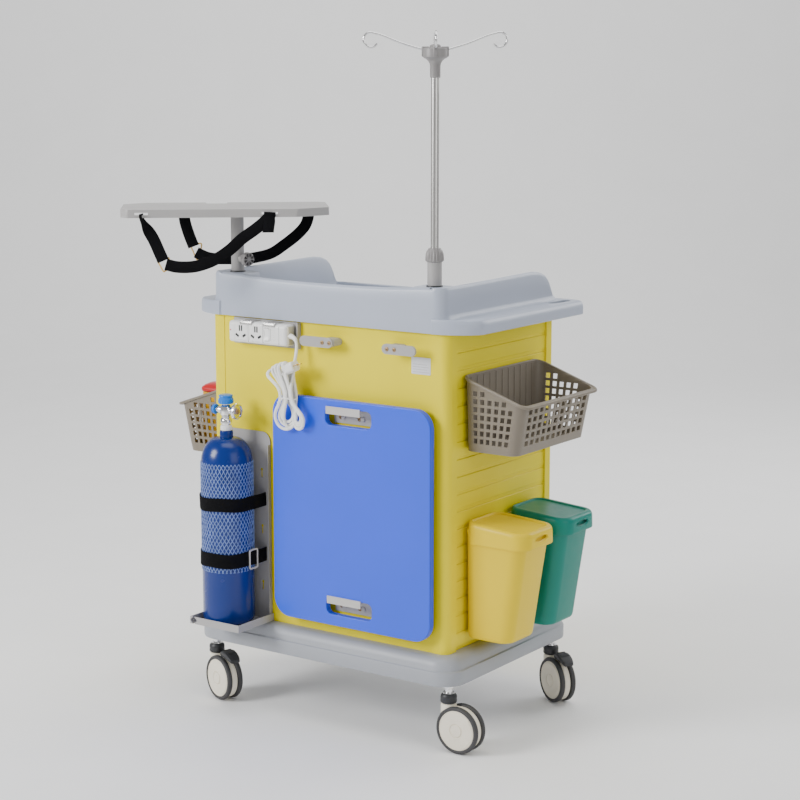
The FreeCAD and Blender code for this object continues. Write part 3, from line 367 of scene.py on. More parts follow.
BASKET = surface("basket_plastic", (0.20, 0.17, 0.13), 0.42, vary=0.04, grain=1300, bump=0.06, wear=0.3)
BIN_YELLOW = surface("bin_yellow_plastic", (0.80, 0.58, 0.0), 0.38, shine=0.3, vary=0.03, wear=0.15)
BIN_GREEN = surface("bin_green_plastic", (0.0, 0.20, 0.155), 0.36, shine=0.3, vary=0.04, wear=0.12)
BOTTLE = surface("bottle_paint", (0.0, 0.02, 0.17), 0.24, coat=0.12, shine=0.35, vary=0.05, grain=250,
                 bump=0.02, wear=0)
CAP_BLUE = surface("cap_plastic", (0.0, 0.17, 0.66), 0.3, vary=0.05)
NET = surface("net_plastic", (0.16, 0.24, 0.52), 0.45, vary=0.2, patch=60, wear=0)
WEBBING = webbing("black_webbing", (0.0025, 0.0025, 0.0035))
WHITE = surface("white_plastic", (0.86, 0.86, 0.84), 0.3, coat=0.1, vary=0.02, wear=0.1)
CORD = surface("cord_pvc", (0.86, 0.86, 0.84), 0.42, vary=0.03, patch=60, wear=0)
# Beige for the strip's end cap: painted shade standing for the white plastic on the shaded end face.
PAINTED_END_SHADE = surface("beige_painted_end_shade", (0.50, 0.47, 0.36), 0.5, vary=0.05)
CREAM = surface("caster_nylon", (0.86, 0.80, 0.66), 0.42, vary=0.05, patch=25, grain=1500, wear=0.1)
TYRE = surface("tyre_rubber", (0.045, 0.044, 0.046), 0.6, vary=0.15, patch=30, grain=1800, bump=0.15, wear=0)
DARK = surface("dark_plastic", (0.022, 0.023, 0.026), 0.45, vary=0.1, wear=0.1)
# Near-black for the strip's seam lines, which are dark joints, and for painted shade: the plates at the
# bottom of the socket holes and the rocker recess, and the crosses on the screw heads.
SEAM_AND_SHADE_DARK = surface("seam_lines_and_painted_recess_shade", (0.01, 0.01, 0.01), 0.6, vary=0.1, wear=0)
SHARPS = surface("sharps_plastic", (0.80, 0.42, 0.0), 0.35, vary=0.03)
RED = surface("red_plastic", (0.60, 0.008, 0.012), 0.3, coat=0.2, vary=0.04)
POLE_GREY = surface("pole_plastic", (0.24, 0.23, 0.228), 0.4, vary=0.05)
LABEL = surface("plate_film", (0.66, 0.67, 0.70), 0.35, vary=0.03, wear=0)


# ---------------------------------------------------------------- camera

AZIMUTH, ELEVATION = math.radians(34.85), math.radians(9.76)


def camera():
    """The photo's viewpoint, fitted to points of the trolley."""
    data = bpy.data.cameras.new("camera")
    data.sensor_width = 36
    data.lens = 87.4
    made = put("camera", data)
    made.location = (2.4237, -3.4170, 1.3941)
    point_at(made, Vector((-math.sin(AZIMUTH) * math.cos(ELEVATION), math.cos(AZIMUTH) * math.cos(ELEVATION),
                           -math.sin(ELEVATION))))
    bpy.context.scene.camera = made


# ---------------------------------------------------------------- mains lead

LEAD = 7.0
ROUTE = ((-79, -231, 835), (-67, -231.5, 834), (-58.5, -232.5, 826), (-55.5, -235, 811),
         (-56, -239, 791), (-58.5, -242.5, 771.5), (-59, -243, 754))
# One row for each turn of the hank: the X of its front strand, of its rear strand and the height at the top,
# its X at the tie, then the centre and the two radii of its lower loop and the side that it goes down,
# +1 right or -1 left.
TURNS = ((-63, -66, 766, -52, -39.5, 664, 18, 21.5, 1), (-70, -74, 772, -56.5, -40.5, 665, 12, 16, 1),
         (-78, -82, 775, -61, -43, 668, 10.5, 14, 1), (-87, -91, 773, -65.5, -64, 663, 11, 21, -1),
         (-96, -100, 769, -70, -70, 668, 12, 13, -1), (-106, -110, 764, -75, -73, 665, 18, 18.5, -1),
         (-116, -82, 756, -80, -74, 664, 24.5, 25.5, -1))
WAIST = 709                 # the height of the tie
SPREAD = 728                # above this height the turns spread out
SLEEVE = 22                 # the length of the strain relief


def hank_points():
    """The lead wound to and fro: down in the front row, round the lower loop and up in the rear row."""
    points = [(-60, -246, 745)]
    for number, (front_x, rear_x, lift, waist, loop_x, loop_z, wide, tall, side) in enumerate(TURNS):
        front, rear = -256.5 + 3 * (number % 3 - 1), -243.5 + 1.3 * (number % 2)
        if number:
            points.append((front_x, front - 2, lift - 3))
            points.append((front_x * 0.6 + waist * 0.4 - 1, front - 1, (lift + SPREAD) / 2))
        points.append((front_x * 0.15 + waist * 0.85, front, SPREAD))
        points.append((waist, front, WAIST))
        points.append((waist * 0.7 + (loop_x + side * wide) * 0.3, front, WAIST - 17))
        for step, angle in enumerate((35, 0, -40, -75, -110, -145, -180, -215)):
            turn = math.radians(angle)
            points.append((loop_x + side * wide * math.cos(turn), front + (rear - front) * step / 7,
                           loop_z + tall * math.sin(turn)))
        points.append((waist * 0.75 + (loop_x - side * wide) * 0.25, rear, WAIST - 15))
        points.append((waist + 1, rear, WAIST + 1))
        points.append((rear_x * 0.15 + waist * 0.85, rear, SPREAD))
        if number < len(TURNS) - 1:
            following = TURNS[number + 1]
            points.append((rear_x * 0.6 + waist * 0.4 + 1, rear + 2, (lift + SPREAD - 1) / 2))
            points.append((rear_x, rear + 6, lift - 6))
            points.append((rear_x * 0.75 + following[0] * 0.25, rear + 1, following[2] + 4))
            points.append((rear_x * 0.25 + following[0] * 0.75, front + 2, following[2] + 6))
    points += [(-80, -247, 743), (-78, -253, 754), (-72, -259, 763)]
    return points


def lead_sleeve(lead):
    """The tapered, ribbed strain relief on the lead. A copy of the lead without thickness gives the route."""
    bare = bpy.data.objects.new("bare_lead", lead.data.copy())
    bare.data.bevel_depth = 0
    route = bpy.data.meshes.new_from_object(bare)
    line = [vertex.co / MM for vertex in route.vertices]
    bpy.data.meshes.remove(route)
    bpy.data.curves.remove(bare.data)
    along, rings = 0, []
    for here, ahead in zip(line, line[1:]):
        if along > SLEEVE:
            break
        radius = 5.8 - 0.075 * along + 0.3 * math.cos(along * math.tau / 3.6)
        up = (ahead - here).normalized().cross(Vector((0, 1, 0)))
        rings.append([here + radius * (up * c + Vector((0, s, 0))) for c, s in circle(1, 20)])
        along += (ahead - here).length
    mesh = bmesh.new()
    loft(mesh, rings)
    return add("lead_sleeve", mesh, "cart", WHITE)


def mains_lead():
    """The lead, tied in a hank, with its sleeve, its plug and the tie."""
    points = list(ROUTE) + hank_points()
    data = bpy.data.curves.new("mains_lead", "CURVE")
    data.dimensions = "3D"
    line = data.splines.new("NURBS")
    line.points.add(len(points) - 1)
    for knot, place in zip(line.points, points):
        knot.co = (*[value * MM for value in place], 1)
    line.order_u = 3
    line.use_endpoint_u = True
    line.resolution_u = 6
    data.bevel_depth = LEAD / 2 * MM
    data.bevel_resolution = 4
    lead = add("mains_lead", data, "cart", CORD, ("power_cord", "power_cord_hank"))
    plug = mains_plug()
    sleeve = lead_sleeve(lead)
    tie = bmesh.new()
    ring = [Vector((-66.5 + 20.5 * math.cos(i * math.tau / 36), -252 + 13 * math.sin(i * math.tau / 36),
                    WAIST - 2 + 1.2 * math.sin(i * math.tau / 12))) for i in range(36)]
    sweep(tie, ring, circle(1.3, 8), closed=True)
    tails = vectors((-72, -264.5, 707), (-75, -266.5, 703), (-80, -267, 701), (-84, -266, 697))
    sweep(tie, smooth_path(tails), circle(1.2, 8))
    band = add("hank_tie", tie, "cart", WHITE)


def mains_plug():
    """A moulded angled plug with two flat pins."""
    mesh = bmesh.new()
    stem = Matrix.Translation((-69, -259, 766)) @ Matrix.Rotation(math.radians(-24), 4, "Y") @ aim((1, 0, 0))
    rings = []
    for along, half_wide, half_tall in ((0, 5.0, 5.0), (3, 6.5, 6.5), (5, 8.5, 8.0), (9, 10.5, 9.2),
                                        (15, 12.8, 10.2), (22, 14.2, 10.8),
                                        (27, 14.4, 10.8), (30, 13.8, 10.4), (31.2, 12.4, 9.4)):
        rings.append([stem @ Vector((half_wide * x, half_tall * y, along)) for x, y in squircle(0.55, 32)])
    loft(mesh, rings)
    for side in (-1, 1):
        block(mesh, (side * 6.5 - 3, -0.9, 30), (side * 6.5 + 3, 0.9, 42), 0.8, 0.5, stem, material=1)
    for rib in range(3):
        block(mesh, (-9 + rib, -11.2, 9 + rib * 5), (9 - rib, 11.2, 10.2 + rib * 5), 3, 0.5, stem)
    return add("mains_plug", mesh, "cart", [WHITE, BRASS], ("power_plug",))


# ---------------------------------------------------------------- tray

def tray():
    """The moulded top: a wall that rises behind the worktop and a rolled lip that stands out at the sides."""
    lip_low, lip_high, work = 865, 895, 883
    stations = []

    def station(wall, lip, top):
        stations.append((Vector((*wall, 0)), Vector((*lip, 0)), top))

    for x, top in ((0, 948.8), (50, 949), (100, 949.6), (150, 951), (200, 953.5), (240, 956), (262, 957)):
        station((x, -219), (x, -219.2), top)
    station((273, -219), (273, -219.3), 957.2)
    station((275, -218.9), (276, -223), 957.3)
    for step in range(1, 10):
        angle = math.radians(10 * step)
        lip_x = 278 + 89 * math.sin(angle) ** 1.15
        lip_y = -166 - 57 * math.cos(angle) ** 1.25
        station((276 + 24 * math.sin(angle), -195 - 24 * math.cos(angle)), (lip_x, lip_y), 957.3 + 0.1 * step)
    for y, top in ((-150, 958.2), (-100, 958.6), (-50, 959), (0, 959.5), (60, 960.4), (110, 961),
                   (137, 960.8), (158, 958.5),
                   (172, 955), (184, 950), (194, 942), (201, 933), (208, 921), (213, 910), (219, 900),
                   (224, 896)):
        station((300, y), (367, y + max(0, y) * 0.02), top)
    for step in range(1, 7):
        angle = math.radians(15 * step)
        station((282 + 18 * math.cos(angle), 224 + 4 * math.sin(angle)),
                (335 + 32 * math.cos(angle), 228 + 12 * math.sin(angle)), 895.2)
    for x in (255, 200, 140, 70, 0):
        station((x, 228), (x + x * 0.1, 240), 895.2)
    mirrored = [(Vector((-w.x, w.y, 0)), Vector((-l.x, l.y, 0)), top) for w, l, top in stations[-2:0:-1]]
    rings = []
    for wall, lip, top in stations + mirrored:
        out = lip - wall
        reach = out.length
        ahead = out.normalized() if reach > 1.5 else Vector((wall.x * 0.02, wall.y, 0)).normalized()
        share = min(1.0, reach / 40)
        rise = max(top - lip_high, 0)
        ring = []
        for inset, z in ((6, lip_low), (1.5, lip_low + 0.3), (0, lip_low + 2), (0, lip_low + 15),
                         (0.6, lip_low + 21),
                         (3, lip_low + 26.5), (7, lip_low + 29.2), (12, lip_low + 30)):
            ring.append(lip - ahead * inset * share + Vector((0, 0, z)))
        for back, z in ((18, -1.5), (13, -2.2), (7, -1.5), (2.5, 2.5), (0.3, 9)):
            lift = z if z < 0 else z * min(1, rise / 9)
            ring.append(wall + ahead * min(back, max(reach - 12, 0) * back / 18) * share
                        + Vector((0, 0, lip_high + lift * share if z < 0 else lip_high + lift)))
        ring.append(wall + Vector((0, 0, lip_high + rise * 0.55)))
        for inset, drop in ((0.2, 7), (1.6, 2.6), (4.2, 0.3), (7.5, 0), (10, 1.4), (11.6, 5)):
            ring.append(wall - ahead * inset + Vector((0, 0,
                                                       max(top - drop * min(1, rise / 12 + 0.15), work + 1))))
        ring.append(wall - ahead * 12.2 + Vector((0, 0, work + max(rise * 0.3, 4))))
        ring.append(wall - ahead * 14.5 + Vector((0, 0, work + 2.2)))
        ring.append(wall - ahead * 21 + Vector((0, 0, work)))
        rings.append(ring)
    mesh = bmesh.new()
    rings.append(rings[0])
    loft(mesh, rings, closed=False, caps=(False, False))
    bmesh.ops.remove_doubles(mesh, verts=mesh.verts, dist=0.01)
    bmesh.ops.holes_fill(mesh, edges=[edge for edge in mesh.edges if edge.is_boundary], sides=0)
    body = add("tray_shell", mesh, "cart", TRAY, ("top_tray",))
    for side in (-1, 1):
        gap = bmesh.new()
        block(gap, (side * 332 - 12, 152, 850), (side * 332 + 12, 224, 920), 11.5, 1)
        cut_away(body, gap, "hand_slot")
    posts = bmesh.new()
    for side in (-1, 1):
        x0, x1 = sorted((side * 216, side * 296))
        block(posts, (x0, -216, 884), (x1, -146, 956.2), 16, 5)
        lathe(posts, [(0, 955), (16.2, 955), (17.2, 956.5), (16.6, 958.6), (14.8, 959.2), (0, 959.2)],
              Matrix.Translation((side * 256, -182, 0)), 40, material=1)
    add("tray_posts", posts, "cart", [TRAY, DARK])


# ---------------------------------------------------------------- base and cabinet

def base():
    """The moulded base with its rounded edge."""
    low, high = span("base_deck")
    mesh = bmesh.new()
    rows = ((34, 184), (12, 184), (8, 180), (8, 143), (6.5, 141.3), (3, 141), (0.8, 142.2), (0, 145),
            (0, 168.5),
                     (0.9, 171), (3.2, 172.4), (4.6, 172.6), (5.2, 174), (6.2, 181), (9, 188.5), (14, 195),
            (20, 198.6),
                     (27, 200), (60, 200))
    loft(mesh, inset_rings(low, high, rows, lambda inset: max(50 - inset * 0.6, 20), 12))
    add("base_shell", mesh, "cart", BASE, ("base_deck",))


def slats(name, side):
    """Lapped horizontal boards: each has a broad face and a narrow stepped foot."""
    low, high = span(name)
    pitch = 36.6
    face = high.x if side > 0 else -low.x
    outline = []
    rows = int((high.z - low.z) / pitch) + 1
    for row in range(rows):
        foot = low.z + row * pitch
        for depth, z in ((2.6, 0), (1.5, 0.4), (1.4, 6.6), (0.6, 7.0), (0.0, 7.8), (0.0, 35.2), (0.8, 36.2)):
            if foot + z < high.z:
                outline.append((face - depth, foot + z))
    outline.append((face - 1, high.z))
    outline += [(face - 6, high.z), (face - 6, low.z)]
    mesh = bmesh.new()
    rings = [[Vector((side * x, y, z)) for x, z in outline] for y in (low.y, high.y)]
    loft(mesh, rings)
    add(name + "_boards", mesh, "cart", YELLOW, (name,), sharp=20)


def screw_head(mesh, place, radius=4.0, material=0):
    """A domed head with a cross recess, drawn as a raised cross of painted shade in the second material."""
    lathe(mesh, [(0, 0), (radius, 0), (radius, 0.5), (radius * 0.85, 1.3), (radius * 0.5, 1.9), (0.2, 2.1)],
          place, 20, material)
    for turn in (0, 90):
        # The cross is painted shade: a dark raised cross where the recess would be in shade.
        spin = place @ Matrix.Rotation(math.radians(turn), 4, "Z")
        block(mesh, (-radius * 0.55, -0.5, 1.2), (radius * 0.55, 0.5, 2.25), 0.4, 0.15, spin, material=1)


def fasteners():
    """The screws of the board's brackets and of the cord cleats."""
    mesh = bmesh.new()
    edge = span("cpr_brackets")[0].x
    for top in (694, 287):
        for x in (edge + 19, edge + 67):
            screw_head(mesh, on_rear(x, -212.5, top - 22), 5)
    for left in (8, 172):
        for i in (0, 1):
            screw_head(mesh, on_rear(left + 9 + 18 * i, -243.2, 830), 4.4)
    add("fixing_screws", mesh, "cart", [RUST, SEAM_AND_SHADE_DARK])


def rating_plate():
    """A blank plate with four plain bars where the text would be."""
    mesh = bmesh.new()
    turn = on_rear(242, -209, 796.5)
    block(mesh, (-23.5, -17.5, 0), (23.5, 17.5, 0.7), 2, 0.2, turn)
    for row in range(4):
        block(mesh, (-20, -13 + row * 5.2, 0.5), (20 - 5 * (row % 2), -12.2 + row * 5.2, 0.9), 0.3, 0.1, turn,
              material=1)
    add("rating_plate", mesh, "cart", [LABEL, STEEL])


# ---------------------------------------------------------------- casters

def caster(tag):
    """One caster: twin wheels with tyres, the fork and, where the part has one, the brake pedal."""
    swivel = Vector(JOINTS["caster_swivel_" + tag]["pos_m"]) / MM
    wheel = Vector(JOINTS["wheel_spin_" + tag]["pos_m"]) / MM
    across = Vector(JOINTS["wheel_spin_" + tag]["axis"])
    ahead = Vector((wheel.x - swivel.x, wheel.y - swivel.y, 0)).normalized()
    local = Matrix((ahead, across, (0, 0, 1))).transposed().to_4x4()
    local.translation = (swivel.x, swivel.y, 0)
    trail = (wheel.xy - swivel.xy).length
    hub = bmesh.new()
    for side in (-1, 1):
        place = local @ Matrix.Translation((trail, side * 7.6, 50)) @ aim((0, side, 0))
        lathe(hub, [(0, 0.2), (41.5, 0.2), (42.3, 1.4), (42.3, 9.4), (41.6, 10.6), (40.4, 11.2), (39.6, 10.4),
                    (38.4, 10.4), (37.6, 11.4), (30, 11.9),
                    (20, 12.2), (15.4, 12.2), (14.8, 10.8), (13.6, 10.8), (13, 12.2), (12.2, 13.0), (6, 13.4),
                    (0, 13.5)], place, 64)
        lathe(hub, [(41.6, 0.1), (46.5, 0.1), (48.9, 1.4), (49.9, 3.6), (50, 6), (49.7, 8.6), (48.2, 10.9),
                    (45.8, 11.9),
                    (43.6, 11.5), (42.2, 10.4), (41.7, 8)], place, 64, material=1)
    axle = local @ Matrix.Translation((trail, 0, 50)) @ aim((0, 1, 0), (0, -8, 0))
    lathe(hub, [(0, 0), (4.9, 0), (4.9, 16), (0, 16)], axle, 24)
    add("wheels_twin_" + tag, hub, "wheels_" + tag, [CREAM, TYRE], ("caster_wheels_" + tag,))

    fork = bmesh.new()
    drum = local @ Matrix.Translation((trail, 0, 50)) @ aim((0, 1, 0))
    lathe(fork, [(5.2, -7.1), (44, -7.1), (45.6, -6.2), (46.2, -4), (46.2, 4), (45.6, 6.2), (44, 7.1),
                 (5.2, 7.1)], drum, 64)
    lathe(fork, [(0, 60), (14, 60), (15.8, 70), (16.4, 84), (16.5, 97), (15.6, 100.2), (12, 101), (0, 101)],
          local, 40)
    block(fork, (-2, -7, 40), (26, 7, 96), 6, 2, local)
    add("fork_" + tag, fork, "caster_" + tag, CREAM, ("caster_fork_" + tag,))
    if "brake_" + tag in frame["bodies"]:
        pedal = bmesh.new()
        rings = []
        for along, half, low, high in ((30, 8, 103, 107), (33, 12, 101, 110), (40, 14, 100, 113.5),
                                       (50, 15, 100.5, 114.5), (60, 15, 99, 112),
                                       (70, 14, 96, 107), (76, 12.5, 93.5, 102.5), (79, 11, 92.6, 99.5)):
            rings.append([local @ Vector((along, half * x, (low + high) / 2 + (high - low) / 2 * y))
                          for x, y in squircle(0.35, 24)])
        loft(pedal, rings)
        for rib in range(5):
            block(pedal, (42 + rib * 4.5, -10, 110), (44.2 + rib * 4.5, 10, 115.6 - 0.45 * rib), 0.8, 0.4,
                  local)
        add("brake_lever_" + tag, pedal, "brake_" + tag, DARK, ("brake_pedal_" + tag,))


def stems():
    """The four stems: a ribbed collar, a plain washer, the shank and its hexagon."""
    mesh = bmesh.new()
    for tag in ("rr", "rl", "fr", "fl"):
        spot = Vector(JOINTS["caster_swivel_" + tag]["pos_m"]) / MM
        place = Matrix.Translation((spot.x, spot.y, 0))
        lathe(mesh, [(0, 101.4), (15, 101.4), (17, 103), (17.3, 106), (16.9, 110), (17.3, 113), (16.6, 117.5),
                     (13.4, 121), (0, 121)],
              place, 40)
        lathe(mesh, [(0, 121), (12.5, 121), (12.9, 122), (12.5, 123.6), (0, 123.6)], place, 32, material=1)
        lathe(mesh, [(0, 123.6), (8, 123.6), (8, 184), (0, 184)], place, 32, material=1)
        lathe(mesh, [(0, 132), (11, 132), (11.6, 133), (11.6, 139), (11, 140.9), (0, 140.9)], place, 6,
              material=1)
    add("caster_stem_set", mesh, "cart", [DARK, CHROME], ("caster_stems",))


# ---------------------------------------------------------------- power strip

SOCKETS = (-44, -2)         # the sockets' middles and the rocker's, from the middle of the strip
ROCKER = 27


def power_strip():
    """The strip with its socket holes, ribs, seam lines, lamp, rocker switch, end cap and clips. The
    near-black plates under the socket holes and round the rocker are painted shade, and the beige end cap is
    painted shade on the white end face.
    """
    low, high = span("power_strip")
    mesh = bmesh.new()
    place = on_rear((low.x + high.x) / 2, high.y, (low.z + high.z) / 2)
    half_x, half_z = (high.x - low.x) / 2, (high.z - low.z) / 2

    def face(mesh, x, z, wide, tall, deep, front, radius=2, edge=0.5, material=0):
        """A rounded block on the front, centred at x and z from the strip's middle."""
        block(mesh, (x - wide / 2, z - tall / 2, front - deep), (x + wide / 2, z + tall / 2, front), radius,
              edge, place, material)

    rings = []
    for inset, z in ((0, 0), (0, 21), (0.8, 25), (2.6, 28), (5.5, 29.6), (8, 30)):
        rings.append([place @ point for point in rounded_plan(-half_x + inset, half_x - inset,
                                                              -half_z + inset, half_z - inset, 5, z, 6)])
    loft(mesh, rings)
    body = add("strip_shell", mesh, "cart", WHITE, ("power_strip",))
    holes = bmesh.new()
    for x in SOCKETS:
        for side in (-1, 1):
            face(holes, x + side * 2.9, 8.5, 4.2, 13, 9, 32, 1.2)
            slot = place @ Matrix.Translation((x + side * 9.5, -7, 0)) @ Matrix.Rotation(side * 0.55, 4, "Z")
            block(holes, (-5.2, -2.6, 23), (5.2, 2.6, 32), 1, 0.4, slot)
    face(holes, ROCKER, 0, 14.6, 28.6, 9, 32, 1.5)
    cut_away(body, holes, "socket_holes")
    trim = bmesh.new()
    for x in SOCKETS:
        for side in (-1, 1):
            face(trim, x + side * 17.5, 0, 0.8, 33, 1, 30.25, 0.3, 0.2)
            face(trim, x, side * 16.5, 34, 0.8, 1, 30.25, 0.3, 0.2)
    for z in (-10, -5, 0, 5, 10):
        face(trim, 46, z, 9, 1.0, 1, 30.5, 0.4, 0.3)
    add("strip_ribs", trim, "cart", WHITE)
    seam_and_shade = bmesh.new()
    for x in (-23, 17, 60):
        face(seam_and_shade, x, 0, 0.7, 38, 1, 30.05, 0.3, 0.03)
    face(seam_and_shade, 38, 0, 0.7, 26, 1, 30.05, 0.3, 0.03)
    # Painted shade: near-black plates under the socket holes and at the floor of the rocker recess.
    for x in SOCKETS:
        face(seam_and_shade, x, 1, 30, 29, 3, 29, 2)
    face(seam_and_shade, ROCKER, 0, 14, 28, 1, 23.2, 1)
    add("strip_seam_lines_and_painted_shade", seam_and_shade, "cart", SEAM_AND_SHADE_DARK)
    lamp = bmesh.new()
    lathe(lamp, [(0, 29), (1.5, 29), (1.5, 30.4), (1.0, 31.1), (0, 31.3)],
          place @ Matrix.Translation((-71.5, 3, 0)), 16)
    add("strip_lamp", lamp, "cart", RED)
    rocker = bmesh.new()
    rings = []
    for z, lift in ((-13.4, 5.0), (-12.6, 6.2), (-6, 4.4), (0, 3.4), (6, 4.0), (12.6, 5.2), (13.4, 4.2)):
        rings.append([place @ Vector((x + ROCKER, z, 26 + depth)) for x,
                      depth in ((-6.6, -1), (-6.6, lift - 0.6), (-6.0, lift), (6.0, lift),
                                                                             (6.6, lift - 0.6), (6.6, -1))])
    loft(rocker, rings)
    add("strip_rocker", rocker, "switch", WHITE, ("power_switch",))
    # Painted shade: the end cap is beige, the white strip's end face coloured as if in shade.
    end = bmesh.new()
    face(end, half_x + 1.2, 0, 5, half_z * 2 - 7, 20, 25, 2, 1)
    add("strip_end_cap_painted_shade", end, "cart", PAINTED_END_SHADE)
    clips = bmesh.new()
    for x in (-29, 33):
        face(clips, x, half_z + 0.7, 32, 1.4, 30, 29, 0.6, 0.4)
        face(clips, x, half_z - 3, 32, 7, 1.4, 31.2, 1, 0.5)
    add("strip_clips", clips, "cart", BRUSHED)


# ---------------------------------------------------------------- oxygen

SHOULDER = 552              # where the cylinder's dome begins
OUTLET = 668                # the height of the valve's outlets
STRAPS = ((471, 14.5, 0.4), (349, 15.5, 1.9))  # each strap's height, its half width and where its waves start


def bottle_axis():
    """The cylinder's centre, its radius and a frame on its axis at the floor."""
    low, high = span("oxygen_cylinder")
    centre = (low + high) / 2
    return centre, (high.x - low.x) / 2, Matrix.Translation((centre.x, centre.y, 0))


def bottle():
    """The cylinder, and the net of two crossing sets of strands round it."""
    _, radius, place = bottle_axis()
    foot = span("oxygen_cylinder")[0].z
    profile = [(0, foot + 3), (radius - 16, foot + 2.5), (radius - 11, foot + 0.3), (radius - 6, foot + 1),
               (radius - 2, foot + 5),
               (radius, foot + 12), (radius, SHOULDER)]
    for step in range(1, 17):
        share = step / 16 * math.pi / 2
        profile.append((14.5 + (radius - 14.5) * math.cos(share) ** 0.9, SHOULDER + 58 * math.sin(share)))
    profile += [(14.4, 614), (14.4, 622), (13.6, 624.6), (0, 625)]
    mesh = bmesh.new()
    lathe(mesh, profile, place, 96)
    add("oxygen_bottle", mesh, "cart", BOTTLE, ("oxygen_cylinder",), sharp=50)

    net = bmesh.new()
    net_low, net_high = span("oxygen_net")
    strands, rise, twist, steps = 42, net_high.z + 5 - net_low.z, 2.35, 60
    for hand in (-1, 1):
        for strand in range(strands):
            start = (strand + 0.25 * (hand + 1)) * math.tau / strands
            rings = []
            for step in range(steps + 1):
                share = step / steps
                angle = start + hand * (share * twist + 0.01 * math.sin(step * 0.8 + strand * 0.4))
                z = net_low.z + rise * share
                out = radius + 0.55 + 0.35 * hand * math.cos(share * twist * strands)
                if z > SHOULDER:
                    out -= (z - SHOULDER) ** 2 * 0.018
                spot = Vector((out * math.cos(angle), out * math.sin(angle), z))
                outward = Vector((math.cos(angle), math.sin(angle), 0))
                along = Vector((-math.sin(angle) * hand * twist * radius,
                                math.cos(angle) * hand * twist * radius, rise)).normalized()
                side = along.cross(outward)
                rings.append([place @ (spot + side * 0.85 * c + outward * 0.6 * s) for c, s in circle(1, 5)])
            loft(net, rings)
    add("bottle_net", net, "cart", NET, ("oxygen_net",), sharp=80)


def valve():
    """The valve's body, its blue outlet caps and the handwheel."""
    centre, _, place = bottle_axis()
    mesh = bmesh.new()
    lathe(mesh, [(0, 625), (12, 625), (12.5, 626), (12.5, 633), (11.8, 635.5), (10.5, 636.5), (0, 636.5)],
          place, 40, material=1)
    lathe(mesh, [(0, 636), (9.5, 636), (10, 638), (10, 642), (12.4, 643), (12.4, 648), (11, 650),
                 (9.4, 651.5), (9.4, 656), (12, 658.5), (12.4, 662), (12.4, 674),
                 (12, 677), (8, 680), (8, 684), (0, 684)], place, 40)
    lathe(mesh, [(0, 640), (12.6, 640), (12.6, 647), (0, 647)], place, 6)
    lathe(mesh, [(0, 8), (7, 8), (7.6, 10), (7.6, 18), (6, 20), (6, 26), (0, 26)],
          place @ aim((-1, 0, 0), (0, 0, OUTLET)), 28)
    lathe(mesh, [(0, 6), (6.6, 6), (6.6, 14), (8.4, 15), (8.4, 20), (5.2, 21.5), (5.2, 23.5), (0, 23.5)],
          place @ aim((1, 0, 0), (0, 0, OUTLET)), 28)
    add("valve_body", mesh, "cart", [CHROME, WHITE], ("oxygen_valve",))
    caps = bmesh.new()
    for origin, direction, radius, tall in (((0, 0, 683), (0, 0, 1), 16, 19),
                                            ((-26, 0, OUTLET), (-1, 0, 0), 10.5, 9)):
        ring_place = place @ aim(direction, origin)
        lathe(caps, [(0, 0), (radius - 1, 0), (radius, 1), (radius, tall * 0.55), (radius - 1.6, tall * 0.62),
                     (radius - 1.6, tall * 0.8),
                     (radius - 0.6, tall * 0.86), (radius - 1, tall - 1.2), (radius - 2.6, tall), (0, tall)],
              ring_place, 40)
        for spin in spokes(ring_place, 18):
            block(caps, (radius - 0.7, -0.8, 1), (radius + 0.5, 0.8, tall * 0.52), 0.5, 0.3, spin)
    add("valve_caps", caps, "cart", CAP_BLUE, ("oxygen_valve_caps",))

    wheel = bmesh.new()
    start = span("oxygen_valve_knob")[1].x - centre.x
    hand = place @ aim((1, 0, 0), (start - 9, 0, OUTLET))
    lathe(wheel, [(0, -14), (4, -14), (4, 0), (8, 1), (13, 1.5), (14.6, 0.4), (16.4, 1.2), (17, 4),
                  (16.4, 6.8), (14.6, 7.8), (12.8, 7),
                  (12, 5.4), (8.2, 5.2), (7.6, 6.4), (0, 6.4)], hand, 48)
    for spin in spokes(hand, 8):
        block(wheel, (15.4, -2.6, 1), (17.6, 2.6, 7.2), 1, 0.8, spin)
    lathe(wheel, [(0, 6), (6.4, 6), (6.2, 8), (4.6, 9), (0, 9.2)], hand, 32, material=1)
    add("valve_handwheel", wheel, "oxygen_knob", [CHROME, RUST], ("oxygen_valve_knob",))


def band_mesh(mesh, path, across, thick):
    """A webbing band along a path. across gives the half width vector at each point. UVs are in metres."""
    layer = mesh.loops.layers.uv.verify()
    travelled, last = 0.0, path[0]
    rows = []
    for point, half in zip(path, across):
        travelled += (point - last).length
        last = point
        rows.append((point, half, travelled))
    rings = []
    for i, (point, half, _) in enumerate(rows):
        ahead = (path[min(i + 1, len(path) - 1)] - path[max(i - 1, 0)]).normalized()
        normal = ahead.cross(half.normalized()).normalized() * (thick / 2)
        soft = normal * 0.55
        rings.append([point - half - soft, point - half * 0.94 - normal, point - normal,
                      point + half * 0.94 - normal, point + half - soft,
                      point + half + soft, point + half * 0.94 + normal, point + normal,
                      point - half * 0.94 + normal, point - half + soft])
    made = loft(mesh, rings)
    shares = (-1, -0.94, 0, 0.94, 1, 1, 0.94, 0, -0.94, -1)
    where = {}
    for ring, (_, half, along) in zip(made, rows):
        for vertex, share in zip(ring, shares):
            where[vertex] = (share * half.length * MM, along * MM)
    for face in mesh.faces:
        for corner in face.loops:
            if corner.vert in where:
                corner[layer].uv = where[corner.vert]


